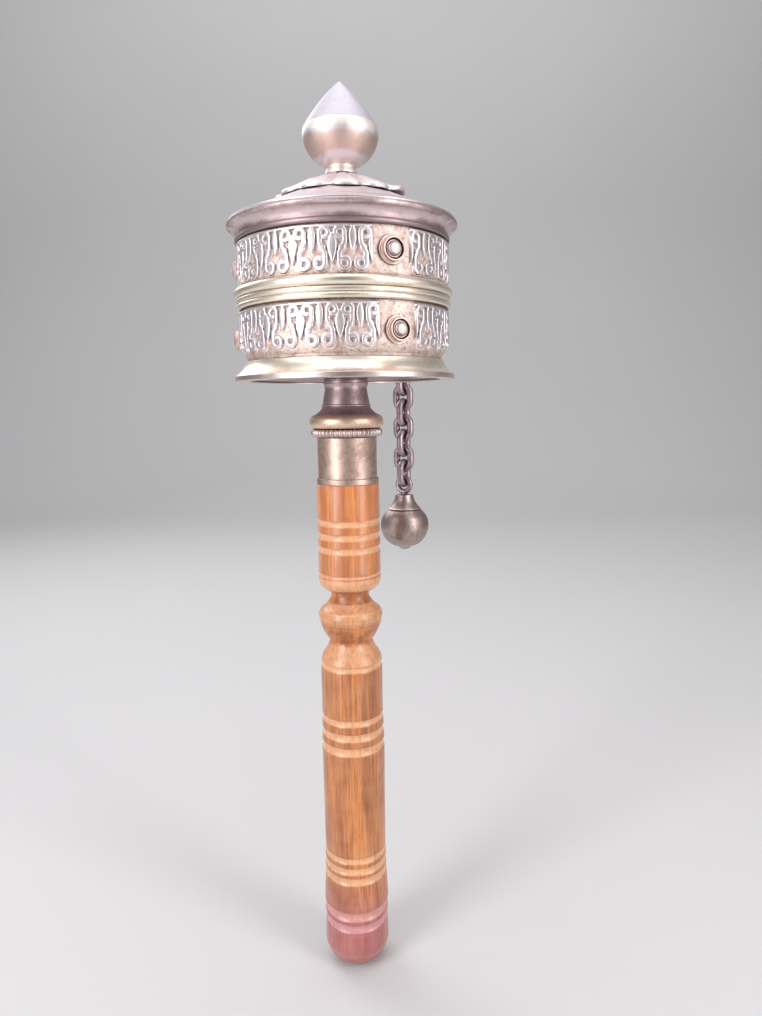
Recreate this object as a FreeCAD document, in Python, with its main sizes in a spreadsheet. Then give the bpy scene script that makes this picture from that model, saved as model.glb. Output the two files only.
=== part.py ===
import FreeCAD, Part
import math
import os
import re
import Sketcher

# Hand prayer wheel. The handle stands on +Z with its butt at height 0, and every "height"
# in the sheet is measured from there. The front of the wheel is -Y.

# Driving dimensions in millimetres, angles in degrees, counts as plain numbers.
DIMENSIONS = [
    # Handle grip: a turned stick with a rounded butt, a bulb between two waists and a tenon.
    ("butt_flat", 4.0),
    ("butt_curve", 8.0),
    ("butt_radius", 9.5),
    ("butt_top", 7.6),
    ("foot_radius", 9.3),
    ("foot_height", 12.2),
    ("heel_radius", 9.55),
    ("heel_height", 20.6),
    ("lower_set_radius", 9.2),
    ("lower_set_foot", 27.2),
    ("grip_low_radius", 8.95),
    ("grip_low", 37.4),
    ("grip_high_radius", 9.15),
    ("grip_high", 67.4),
    ("barrel_radius", 8.85),
    ("barrel_foot", 79.2),
    ("shoulder_top", 93.4),
    ("shoulder_curve", 5.8),
    ("low_waist_radius", 6.2),
    ("low_waist", 99.7),
    ("low_waist_top", 100.2),
    ("low_waist_curve", 10.0),
    ("shoulder_neck_radius", 7.75),
    ("shoulder_neck", 96.6),
    ("bulb_radius", 9.15),
    ("bulb_height", 107.4),
    ("bulb_low_curve", 14.0),
    ("bulb_high_curve", 2.7),
    ("bulb_top_radius", 7.9),
    ("bulb_top", 109.6),
    ("high_waist_radius", 5.45),
    ("high_waist_foot", 112.6),
    ("high_waist_curve", 6.9),
    ("high_waist_top", 114.5),
    ("upper_foot_radius", 8.85),
    ("upper_foot", 117.5),
    ("upper_foot_curve", 3.6),
    ("wood_top_radius", 8.72),
    ("wood_top", 145.0),
    ("tenon_radius", 7.6),
    ("tenon_top", 157.0),
    # Turned coves round the stick: height of the lowest, pitch, width and local stick radius.
    ("cove_overlap", 0.2),
    ("foot_cove", 14.3),
    ("foot_cove_pitch", 3.8),
    ("foot_cove_count", 2),
    ("foot_cove_width", 3.1),
    ("foot_cove_depth", 0.55),
    ("foot_cove_radius", 9.38),
    ("lower_cove", 29.2),
    ("lower_cove_pitch", 3.2),
    ("lower_cove_count", 3),
    ("lower_cove_width", 2.8),
    ("lower_cove_depth", 0.42),
    ("lower_cove_radius", 9.1),
    ("middle_cove", 68.9),
    ("middle_cove_pitch", 4.2),
    ("middle_cove_count", 3),
    ("middle_cove_width", 2.8),
    ("middle_cove_depth", 0.45),
    ("middle_cove_radius", 9.0),
    ("shoulder_cove", 93.0),
    ("shoulder_cove_pitch", 2.4),
    ("shoulder_cove_count", 1),
    ("shoulder_cove_width", 2.4),
    ("shoulder_cove_depth", 0.35),
    ("shoulder_cove_radius", 8.85),
    ("barrel_cove", 119.4),
    ("barrel_cove_pitch", 2.4),
    ("barrel_cove_count", 1),
    ("barrel_cove_width", 1.2),
    ("barrel_cove_depth", 0.28),
    ("barrel_cove_radius", 8.84),
    ("upper_cove", 126.7),
    ("upper_cove_pitch", 3.8),
    ("upper_cove_count", 3),
    ("upper_cove_width", 2.35),
    ("upper_cove_depth", 0.38),
    ("upper_cove_radius", 8.79),
    # Spindle: a rod set in the handle, threaded at the top for the finial.
    ("spindle_radius", 2.0),
    ("spindle_foot", 88.0),
    ("spindle_shoulder", 229.2),
    ("thread_radius", 1.7),
    ("spindle_top", 237.0),
    # Clearances: glued seats, slip seats and the running bores on the spindle.
    ("seat_gap", 0.02),
    ("bore_gap", 0.03),
    ("running_gap", 0.06),
    ("slip_gap", 0.13),
    # Ferrule: tube over the tenon, beaded ring, half-round collar and flared neck cup.
    ("ferrule_radius", 8.25),
    ("ferrule_lip_radius", 8.65),
    ("ferrule_lip_height", 1.6),
    ("ferrule_top", 158.0),
    ("bead_ring_core", 8.95),
    ("bead_ring_height", 2.36),
    ("bead_ring_curve", 1.19),
    ("collar_foot", 160.4),
    ("collar_core", 9.3),
    ("collar_top", 163.95),
    ("collar_curve", 2.1),
    ("cup_flare_radius", 9.2),
    ("cup_flare_top_radius", 6.55),
    ("cup_flare_height", 2.3),
    ("cup_flare_curve", 5.0),
    ("cup_ring_height", 0.6),
    ("cup_waist_radius", 5.8),
    ("cup_waist", 171.0),
    ("cup_radius", 6.2),
    ("cup_top", 172.6),
    ("washer_radius", 6.1),
    ("washer_top", 173.4),
    # Drum: bottom plate with its bush, base ring, wall and the moulded band round its middle.
    ("base_plate_radius", 27.0),
    ("base_plate_foot", 173.9),
    ("base_plate_top", 175.0),
    ("bush_foot", 173.46),
    ("bush_flange_radius", 6.0),
    ("bush_radius", 3.6),
    ("bush_top", 176.0),
    ("base_lip_foot", 173.3),
    ("base_lip_radius", 29.9),
    ("base_lip_top", 174.6),
    ("base_seat_radius", 26.0),
    ("base_crown_radius", 26.95),
    ("base_crown", 178.4),
    ("base_cove_curve", 6.5),
    ("wall_radius", 27.65),
    ("wall_thickness", 0.9),
    ("wall_foot_radius", 26.4),
    ("wall_curve", 8.74),
    ("wall_tuck_top", 183.5),
    ("wall_tuck_foot", 179.0),
    ("wall_top", 211.0),
    ("band_foot", 191.8),
    ("band_core", 28.55),
    ("band_thin_ridge", 1.45),
    ("band_thin_curve", 0.86),
    ("band_wide_ridge", 2.6),
    ("band_wide_curve", 1.4),
    # Friezes: pierced strips with a rail, lyre scrolls and leaf drops, three to a register.
    ("relief_height", 0.85),
    ("upper_frieze_foot", 197.8),
    ("upper_frieze_height", 10.9),
    ("lower_frieze_foot", 180.2),
    ("lower_frieze_height", 11.0),
    ("register_count", 3),
    ("cell_count", 5),
    ("cell_angle", 19.9),
    ("upper_stud_angle", -62.5),
    ("lower_stud_angle", -59.5),
    ("rail_height", 0.9),
    ("stroke_width", 1.45),
    ("top_scroll_radius", 1.15),
    ("top_scroll_side", 3.0),
    ("low_scroll_radius", 1.25),
    ("low_scroll_side", 1.9),
    ("leaf_half_width", 1.05),
    ("leaf_length", 6.6),
    ("drop_half_width", 1.25),
    ("drop_length", 7.4),
    # Studs: a turned bezel and a domed stone, standing out from the wall.
    ("upper_stud_height", 203.2),
    ("lower_stud_height", 184.6),
    ("stud_radius", 3.25),
    ("stud_foot_height", 0.55),
    ("stud_tube_radius", 2.65),
    ("stud_rim_height", 1.7),
    ("stud_rim_width", 0.4),
    ("stud_rim_curve", 0.22),
    ("stud_floor", 0.75),
    ("stud_cup_radius", 1.85),
    ("stud_cup_height", 1.5),
    ("stone_radius", 1.5),
    ("stone_shoulder", 1.5),
    ("stone_top", 2.75),
    ("stone_curve", 1.53),
    ("stone_flat", 0.15),
    # Contents: printed paper wound on a core, a cloth wrap and a ribbon round it.
    ("core_inner_radius", 2.3),
    ("core_radius", 3.62),
    ("core_top", 206.6),
    ("scroll_radius", 24.2),
    ("scroll_top", 206.0),
    ("wrap_radius", 24.8),
    ("ribbon_radius", 25.2),
    ("ribbon_foot", 189.5),
    ("ribbon_top", 193.5),
    # Lid: cornice that slips over the wall, conical roof, petal collar and its bush.
    ("cornice_foot", 209.0),
    ("cornice_foot_radius", 28.3),
    ("cornice_bead_top", 210.4),
    ("cornice_bead_curve", 0.78),
    ("cornice_lip_radius", 30.35),
    ("cornice_lip_foot", 212.8),
    ("cornice_lip_curve", 0.72),
    ("cornice_cove_curve", 2.4),
    ("cornice_top", 214.1),
    ("cornice_inner_radius", 26.9),
    ("roof_rim_radius", 30.25),
    ("roof_bend_radius", 17.5),
    ("roof_bend", 219.8),
    ("roof_neck_radius", 4.4),
    ("roof_neck", 226.3),
    ("roof_thickness", 0.8),
    ("roof_rim_height", 0.35),
    ("lid_bush_radius", 3.4),
    ("lid_bush_foot", 223.6),
    ("lid_bush_top", 226.9),
    ("petal_count", 12),
    ("petal_notch_angle", -97.8),
    ("petal_notch_radius", 15.7),
    ("petal_tip_radius", 17.7),
    ("petal_curve", 3.9),
    ("petal_inner_radius", 4.6),
    ("petal_thickness", 1.5),
    # Finial: lotus bud in two turned pieces on a threaded nut.
    ("finial_foot", 227.15),
    ("finial_foot_radius", 4.3),
    ("finial_foot_height", 0.5),
    ("finial_neck_radius", 3.9),
    ("finial_neck_foot", 228.7),
    ("finial_neck_top", 229.3),
    ("bud_radius", 10.1),
    ("bud_height", 236.6),
    ("bud_low_curve", 9.2),
    ("bud_crease_radius", 9.7),
    ("bud_crease", 239.3),
    ("bud_high_curve", 4.8),
    ("tip_foot_radius", 9.75),
    ("tip_flat", 0.35),
    ("tip_top", 250.6),
    ("tip_curve", 52.0),
    ("nut_radius", 3.0),
    ("nut_thread_foot", 229.35),
    ("nut_thread_top", 237.2),
    ("nut_top", 238.2),
    # Chain: a staple on the band and links that hang from it, each turned a quarter from the last.
    ("chain_angle", 60.5),
    ("hang_radius", 34.0),
    ("plate_radius", 29.53),
    ("plate_thickness", 0.65),
    ("plate_foot", 190.6),
    ("plate_height", 6.6),
    ("plate_width", 5.4),
    ("plate_corner", 1.2),
    ("eye_height", 191.8),
    ("link_curve", 2.4),
    ("link_wire", 1.05),
    ("link_straight", 2.2),
    ("link_pitch", 4.8),
    ("first_link_height", 191.6),
    ("link_count", 10),
    # Weight: an oval bead under a turned cap, hung by its own eye, with a button below.
    ("weight_eye_height", 141.15),
    ("weight_eye_curve", 2.2),
    ("weight_eye_wire", 0.8),
    ("weight_stem_length", 8.6),
    ("cap_top", 138.0),
    ("cap_top_radius", 2.8),
    ("cap_foot", 133.5),
    ("cap_foot_radius", 5.4),
    ("cap_curve", 7.0),
    ("bead_radius", 7.7),
    ("bead_height", 128.0),
    ("bead_top_radius", 4.83),
    ("bead_high_curve", 6.36),
    ("bead_foot", 121.3),
    ("bead_foot_radius", 2.4),
    ("bead_low_curve", 6.8),
    ("button_radius", 2.3),
    ("button_foot", 120.1),
    ("button_curve", 2.9),
    ("button_flat", 0.2),
]

ROUND = "round"      # an arc that bulges away from the material
HOLLOW = "hollow"    # an arc that cuts into the material
TURN = 360.0
QUARTER = 90.0
PARALLEL = 0.99     # two directions count as parallel above this cosine

doc = FreeCAD.newDocument("prayer_wheel")
sheet = doc.addObject("Spreadsheet::Sheet", "Dims")
for row, (alias, number) in enumerate(DIMENSIONS, start=1):
    cell = f"A{row}"
    sheet.set(cell, str(number))
    sheet.setAlias(cell, alias)
doc.recompute()

PARTS = []


def bound(text):
    """The expression with every alias read from the sheet."""
    return re.sub(r"\b([a-z]\w*_\w+)\b", r"Dims.\1", text)


def value(text):
    """The number that an expression has now."""
    return float(sheet.evalExpression(bound(text)))


def add_part(piece, label):
    piece.Label = label
    PARTS.append(piece)
    return piece


def origin_plane(body, role):
    return next(feature for feature in body.Origin.OriginFeatures if feature.Role == role)


def new_sketch(body, name, role):
    sketch = body.newObject("Sketcher::SketchObject", name)
    sketch.AttachmentSupport = [(origin_plane(body, role), "")]
    sketch.MapMode = "FlatFace"
    return sketch


def hold(sketch, kind, geometry, *place):
    """Adds one dimension; the last item of place is the expression that drives it."""
    *position, text = place
    index = sketch.addConstraint(Sketcher.Constraint(kind, geometry, *position, value(text)))
    sketch.setExpression(f"Constraints[{index}]", bound(text))


def hold_corner(sketch, edge, end, across, up):
    """Places a corner from the sketch's origin, on an axis where a coordinate is nought."""
    for kind, axis, text in (("DistanceX", -2, across), ("DistanceY", -1, up)):
        if text == "0":
            sketch.addConstraint(Sketcher.Constraint("PointOnObject", edge, end, axis))
        else:
            hold(sketch, kind, edge, end, text)


def arc_through(start, finish, radius, side):
    """The short arc between two corners, and the positions of its ends on it."""
    chord = finish - start
    rise = math.sqrt(max(radius**2 - chord.Length**2 / 4, 0.0))
    left = FreeCAD.Vector(-chord.y, chord.x, 0).normalize()
    away = 1 if side == ROUND else -1
    centre = (start + finish) / 2 + left * (away * rise)
    first, last = (start, finish) if side == ROUND else (finish, start)
    angles = [math.atan2(corner.y - centre.y, corner.x - centre.x) for corner in (first, last)]
    if angles[1] < angles[0]:
        angles[1] += 2 * math.pi
    circle = Part.Circle(centre, FreeCAD.Vector(0, 0, 1), radius)
    return Part.ArcOfCircle(circle, *angles), (1, 2) if side == ROUND else (2, 1)


def outline(sketch, corners):
    """One closed outline, counter-clockwise. A corner is (across, up), or
    (across, up, arc radius, side) where an arc leads to it, or (across, up, side)
    where the arc is half a circle."""
    points = [FreeCAD.Vector(value(corner[0]), value(corner[1]), 0) for corner in corners]
    ends = []
    for number, corner in enumerate(corners):
        start, finish = points[number - 1], points[number]
        if len(corner) == 2:
            edge = sketch.addGeometry(Part.LineSegment(start, finish))
            ends.append((edge, 1, 2))
        elif len(corner) == 3:
            arc, positions = arc_through(start, finish, (finish - start).Length / 2, corner[2])
            edge = sketch.addGeometry(arc)
            ends.append((edge, *positions))
            sketch.addConstraint(Sketcher.Constraint("Symmetric", edge, 1, edge, 2, edge, 3))
        else:
            arc, positions = arc_through(start, finish, value(corner[2]), corner[3])
            edge = sketch.addGeometry(arc)
            ends.append((edge, *positions))
            hold(sketch, "Radius", edge, corner[2])
    for number, corner in enumerate(corners):
        edge, _, finish = ends[number]
        following, start, _ = ends[(number + 1) % len(corners)]
        sketch.addConstraint(Sketcher.Constraint("Coincident", edge, finish, following, start))
        hold_corner(sketch, edge, finish, corner[0], corner[1])


def turned(label, corners):
    """A body of revolution about its own Z axis."""
    body = add_part(doc.addObject("PartDesign::Body", label), label)
    sketch = new_sketch(body, label + "_profile", "XZ_Plane")
    outline(sketch, corners)
    turning = body.newObject("PartDesign::Revolution", label + "_turning")
    turning.Profile = sketch
    turning.ReferenceAxis = (sketch, ["V_Axis"])
    turning.Angle = TURN
    return body


def sleeve(label, inner, outer, foot, top):
    """A plain turned ring or tube."""
    return turned(label, [(inner, foot), (outer, foot), (outer, top), (inner, top)])


def place_polar(piece, radius, height, angle, upright=True):
    """Puts a piece at a radius and angle round the wheel: upright with its X axis
    outwards, or lying with its Z axis outwards."""
    turn = FreeCAD.Rotation(FreeCAD.Vector(0, 0, 1), value(angle))
    outwards = turn.multVec(FreeCAD.Vector(1, 0, 0))
    lying = FreeCAD.Rotation(FreeCAD.Vector(0, 0, 1), outwards)
    piece.Placement = FreeCAD.Placement(outwards * value(radius), turn if upright else lying)
    piece.setExpression("Placement.Base.x", bound(f"({radius}) * cos({angle})"))
    piece.setExpression("Placement.Base.y", bound(f"({radius}) * sin({angle})"))
    piece.setExpression("Placement.Base.z", bound(height))


# ---------------------------------------------------------------- handle

def cove(sketch, radius, height, width, depth):
    """A shallow hollow cut round the stick, as a chord outside it and an arc inside."""
    reach = f"({depth} + cove_overlap)"
    curve = f"({width}^2 / 4 + {reach}^2) / (2 * {reach})"
    edge = f"{radius} + cove_overlap"
    outline(sketch, [
        (edge, f"{height} - {width} / 2"),
        (edge, f"{height} + {width} / 2", curve, HOLLOW),
    ])


def make_grip():
    grip = turned("handle_grip", [
        ("0", "0"),
        ("butt_flat", "0"),
        ("butt_radius", "butt_top", "butt_curve", ROUND),
        ("foot_radius", "foot_height"),
        ("heel_radius", "heel_height"),
        ("lower_set_radius", "lower_set_foot"),
        ("grip_low_radius", "grip_low"),
        ("grip_high_radius", "grip_high"),
        ("barrel_radius", "barrel_foot"),
        ("barrel_radius", "shoulder_top"),
        ("shoulder_neck_radius", "shoulder_neck", "shoulder_curve", ROUND),
        ("low_waist_radius", "low_waist", "low_waist_curve", HOLLOW),
        ("low_waist_radius", "low_waist_top"),
        ("bulb_radius", "bulb_height", "bulb_low_curve", ROUND),
        ("bulb_top_radius", "bulb_top", "bulb_high_curve", ROUND),
        ("high_waist_radius", "high_waist_foot", "high_waist_curve", HOLLOW),
        ("high_waist_radius", "high_waist_top"),
        ("upper_foot_radius", "upper_foot", "upper_foot_curve", ROUND),
        ("wood_top_radius", "wood_top"),
        ("tenon_radius", "wood_top"),
        ("tenon_radius", "tenon_top"),
        ("spindle_radius + bore_gap", "tenon_top"),
        ("spindle_radius + bore_gap", "spindle_foot - bore_gap"),
        ("0", "spindle_foot - bore_gap"),
    ])
    coves = new_sketch(grip, "cove_profiles", "XZ_Plane")
    for group in ("foot", "lower", "middle", "shoulder", "barrel", "upper"):
        name = group + "_cove"
        for step in range(int(value(name + "_count"))):
            height = f"({name} + {step} * {name}_pitch)"
            cove(coves, name + "_radius", height, name + "_width", name + "_depth")
    doc.recompute()
    whole = grip.Shape.Volume
    groove = grip.newObject("PartDesign::Groove", "coves")
    groove.Profile = coves
    groove.ReferenceAxis = (coves, ["V_Axis"])
    groove.Angle = TURN
    doc.recompute()
    print(f"coves take {whole - grip.Shape.Volume:.1f} mm3 off the grip")
    if len(grip.Shape.Shells) != 1:
        raise RuntimeError("a cove is buried inside the grip")


def make_spindle():
    turned("spindle", [
        ("0", "spindle_foot"),
        ("spindle_radius", "spindle_foot"),
        ("spindle_radius", "spindle_shoulder"),
        ("thread_radius", "spindle_shoulder"),
        ("thread_radius", "spindle_top"),
        ("0", "spindle_top"),
    ])


def make_ferrule():
    bore = "spindle_radius + bore_gap"
    turned("ferrule_tube", [
        ("tenon_radius + seat_gap", "wood_top + seat_gap"),
        ("ferrule_lip_radius", "wood_top + seat_gap"),
        ("ferrule_lip_radius", "wood_top + ferrule_lip_height"),
        ("ferrule_radius", "wood_top + ferrule_lip_height"),
        ("ferrule_radius", "ferrule_top"),
        (bore, "ferrule_top"),
        (bore, "tenon_top + seat_gap"),
        ("tenon_radius + seat_gap", "tenon_top + seat_gap"),
    ])
    bead_foot = "ferrule_top + seat_gap"
    bead_top = f"{bead_foot} + bead_ring_height"
    turned("ferrule_bead_ring", [
        (bore, bead_foot),
        ("bead_ring_core", bead_foot),
        ("bead_ring_core", bead_top, "bead_ring_curve", ROUND),
        (bore, bead_top),
    ])
    turned("ferrule_collar", [
        (bore, "collar_foot"),
        ("collar_core", "collar_foot"),
        ("collar_core", "collar_top", "collar_curve", ROUND),
        (bore, "collar_top"),
    ])
    cup_foot = "collar_top + seat_gap"
    ring_foot = f"{cup_foot} + cup_flare_height"
    turned("neck_cup", [
        (bore, cup_foot),
        ("cup_flare_radius", cup_foot),
        ("cup_flare_top_radius", ring_foot, "cup_flare_curve", HOLLOW),
        ("cup_flare_top_radius", f"{ring_foot} + cup_ring_height", ROUND),
        ("cup_waist_radius", "cup_waist"),
        ("cup_radius", "cup_top"),
        (bore, "cup_top"),
    ])
    sleeve("thrust_washer", bore, "washer_radius", "cup_top + seat_gap", "washer_top")


# ---------------------------------------------------------------- drum

def make_drum_shell():
    sleeve("base_plate", "bush_radius + seat_gap", "base_plate_radius",
           "base_plate_foot", "base_plate_top")
    turned("lower_bushing", [
        ("spindle_radius + running_gap", "bush_foot"),
        ("bush_flange_radius", "bush_foot"),
        ("bush_flange_radius", "base_plate_foot - seat_gap"),
        ("bush_radius", "base_plate_foot - seat_gap"),
        ("bush_radius", "bush_top"),
        ("spindle_radius + running_gap", "bush_top"),
    ])
    turned("base_ring", [
        ("base_seat_radius", "base_lip_foot"),
        ("base_lip_radius", "base_lip_foot"),
        ("base_lip_radius", "base_lip_top"),
        ("base_crown_radius", "base_crown", "base_cove_curve", HOLLOW),
        ("wall_foot_radius + seat_gap", "base_crown"),
        ("wall_foot_radius + seat_gap", "base_plate_top + seat_gap"),
        ("base_plate_radius + seat_gap", "base_plate_top + seat_gap"),
        ("base_plate_radius + seat_gap", "base_plate_foot - seat_gap"),
        ("base_seat_radius", "base_plate_foot - seat_gap"),
    ])
    turned("drum_wall", [
        ("wall_foot_radius - wall_thickness", "base_plate_top + seat_gap"),
        ("wall_foot_radius", "base_plate_top + seat_gap"),
        ("wall_foot_radius", "wall_tuck_foot"),
        ("wall_radius", "wall_tuck_top", "wall_curve", ROUND),
        ("wall_radius", "wall_top"),
        ("wall_radius - wall_thickness", "wall_top"),
        ("wall_radius - wall_thickness", "wall_tuck_top"),
        ("wall_foot_radius - wall_thickness", "wall_tuck_foot", "wall_curve", HOLLOW),
    ])
    thin = "band_thin_ridge"
    band_top = f"band_foot + 2 * {thin} + band_wide_ridge"
    turned("middle_band", [
        ("wall_radius + seat_gap", "band_foot"),
        ("band_core", "band_foot"),
        ("band_core", f"band_foot + {thin}", "band_thin_curve", ROUND),
        ("band_core", f"band_foot + 2 * {thin}", "band_thin_curve", ROUND),
        ("band_core", band_top, "band_wide_curve", ROUND),
        ("wall_radius + seat_gap", band_top),
    ])


def ring_face(across, up, radius, width):
    """A flat ring, for a scroll."""
    centre = FreeCAD.Vector(across, up, 0)
    outer, inner = (
        Part.Face(Part.Wire(Part.makeCircle(edge, centre)))
        for edge in (radius + width / 2, radius - width / 2))
    return outer.cut(inner).Faces[0]


def bar_face(start, finish, width):
    """A flat straight stroke."""
    side = FreeCAD.Vector(start.y - finish.y, finish.x - start.x, 0).normalize() * (width / 2)
    return Part.Face(Part.makePolygon(
        [start + side, start - side, finish - side, finish + side, start + side]))


def leaf_face(across, top, length, half_width):
    """A flat pointed leaf that hangs from its top, between two arcs."""
    head = FreeCAD.Vector(across, top, 0)
    tip = FreeCAD.Vector(across, top - length, 0)
    right = FreeCAD.Vector(across + half_width, top - length / 2, 0)
    left = FreeCAD.Vector(across - half_width, top - length / 2, 0)
    arcs = [Part.Arc(head, right, tip), Part.Arc(tip, left, head)]
    return Part.Face(Part.Wire([arc.toShape() for arc in arcs]))


def cell_face(height):
    """One cell of the ornament, symmetrical about the middle: two lyre scrolls, a leaf
    between them and a drop at each side. Nought is the foot of the strip."""
    width = value("stroke_width")
    rail = height - value("rail_height")
    side = value("wall_radius * sin(cell_angle / 2)")
    top_radius = value("top_scroll_radius")
    low_radius = value("low_scroll_radius")
    top_centre = rail - top_radius
    low_centre = low_radius + width / 2
    faces = [leaf_face(0, rail + width / 2, value("leaf_length"), value("leaf_half_width"))]
    for mirror in (-1, 1):
        top_side = mirror * value("top_scroll_side")
        low_side = mirror * value("low_scroll_side")
        faces.append(ring_face(top_side, top_centre, top_radius, width))
        faces.append(ring_face(low_side, low_centre, low_radius, width))
        faces.append(bar_face(
            FreeCAD.Vector(top_side - mirror * top_radius, top_centre, 0),
            FreeCAD.Vector(low_side + mirror * low_radius, low_centre, 0), width))
        faces.append(leaf_face(
            mirror * side, top_centre, value("drop_length"), value("drop_half_width")))
    return faces


def relief_shell(foot, height, angle):
    """The space that a strip fills: it follows the wall, tucked-in foot included."""
    inner = value("wall_radius + seat_gap")
    outer = value("wall_radius + relief_height")
    tuck = value("wall_tuck_top")
    centre = value("wall_radius - wall_curve")
    top = foot + height
    start = FreeCAD.Vector(math.cos(math.radians(-angle / 2)), math.sin(math.radians(-angle / 2)), 0)

    def at(radius, level):
        return start * radius + FreeCAD.Vector(0, 0, level)

    def tucked(radius, level):
        return centre + math.sqrt((radius - centre) ** 2 - (tuck - level) ** 2)

    if foot >= tuck:
        wire = Part.makePolygon([at(inner, foot), at(outer, foot), at(outer, top), at(inner, top),
                                 at(inner, foot)])
    else:
        middle = (foot + tuck) / 2
        low_inner, low_outer = at(tucked(inner, foot), foot), at(tucked(outer, foot), foot)
        edges = [
            Part.LineSegment(low_inner, low_outer),
            Part.Arc(low_outer, at(tucked(outer, middle), middle), at(outer, tuck)),
            Part.LineSegment(at(outer, tuck), at(outer, top)),
            Part.LineSegment(at(outer, top), at(inner, top)),
            Part.LineSegment(at(inner, top), at(inner, tuck)),
            Part.Arc(at(inner, tuck), at(tucked(inner, middle), middle), low_inner),
        ]
        wire = Part.Wire([edge.toShape() for edge in edges])
    return Part.Face(wire).revolve(FreeCAD.Vector(0, 0, 0), FreeCAD.Vector(0, 0, 1), angle)


def strip_shape(foot, height):
    """One whole strip, centred on the X axis: its cells and the rail along the top."""
    cells = int(value("cell_count"))
    step = value("cell_angle")
    reach = value("wall_radius + relief_height")
    # The flat ornament stands upright, facing outwards along X.
    facing = FreeCAD.Placement(FreeCAD.Vector(value("wall_foot_radius - wall_thickness"), 0, foot),
                               FreeCAD.Rotation(FreeCAD.Vector(1, 1, 1), TURN / 3))
    shell = relief_shell(foot, height, QUARTER)
    blocks = []
    for face in cell_face(height):
        face.Placement = facing
        blocks.append(face.extrude(FreeCAD.Vector(reach, 0, 0)))
    motif = blocks[0].multiFuse(blocks[1:]).common(shell)
    rail_foot = foot + height - value("rail_height")
    span = cells * step
    rail = relief_shell(rail_foot, value("rail_height"), span)
    copies = []
    for number in range(cells):
        copy = motif.copy()
        copy.rotate(FreeCAD.Vector(0, 0, 0), FreeCAD.Vector(0, 0, 1),
                    (number - (cells - 1) / 2) * step)
        copies.append(copy)
    return rail.multiFuse(copies).removeSplitter()


def make_friezes():
    count = int(value("register_count"))
    for register in ("upper", "lower"):
        shape = strip_shape(value(register + "_frieze_foot"), value(register + "_frieze_height"))
        if len(shape.Solids) != 1:
            raise RuntimeError(f"the {register} frieze is in {len(shape.Solids)} pieces")
        for number in range(count):
            strip = add_part(doc.addObject("Part::Feature", f"{register}_frieze_{number + 1}"),
                             f"{register}_frieze_{number + 1}")
            strip.Shape = shape.Solids[0]
            middle = value(register + "_stud_angle") + TURN / count * (number + 0.5)
            strip.Placement = FreeCAD.Placement(
                FreeCAD.Vector(0, 0, 0), FreeCAD.Rotation(FreeCAD.Vector(0, 0, 1), middle))


def make_studs():
    count = int(value("register_count"))
    for register in ("upper", "lower"):
        for number in range(count):
            bezel = turned(f"{register}_bezel_{number + 1}", [
                ("0", "0"),
                ("stud_radius", "0"),
                ("stud_radius", "stud_foot_height"),
                ("stud_tube_radius", "stud_foot_height"),
                ("stud_tube_radius", "stud_rim_height"),
                ("stud_tube_radius - stud_rim_width", "stud_rim_height", "stud_rim_curve", ROUND),
                ("stud_tube_radius - stud_rim_width", "stud_floor"),
                ("stud_cup_radius", "stud_floor"),
                ("stud_cup_radius", "stud_cup_height"),
                ("stone_radius + seat_gap", "stud_cup_height"),
                ("stone_radius + seat_gap", "stud_floor"),
                ("0", "stud_floor"),
            ])
            stone = turned(f"{register}_stone_{number + 1}", [
                ("0", "stud_floor + seat_gap"),
                ("stone_radius", "stud_floor + seat_gap"),
                ("stone_radius", "stone_shoulder"),
                ("stone_flat", "stone_top", "stone_curve", ROUND),
                ("0", "stone_top"),
            ])
            angle = f"({register}_stud_angle + {TURN / count * number})"
            for piece in (bezel, stone):
                place_polar(piece, "wall_radius + seat_gap", register + "_stud_height", angle,
                            upright=False)


def make_contents():
    sleeve("scroll_core", "core_inner_radius", "core_radius", "bush_top + seat_gap", "core_top")
    foot = "base_plate_top + seat_gap"
    sleeve("prayer_scroll", "core_radius + seat_gap", "scroll_radius", foot, "scroll_top")
    sleeve("scroll_wrap", "scroll_radius + seat_gap", "wrap_radius", foot, "scroll_top")
    sleeve("scroll_ribbon", "wrap_radius + seat_gap", "ribbon_radius", "ribbon_foot", "ribbon_top")


# ---------------------------------------------------------------- lid

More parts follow.
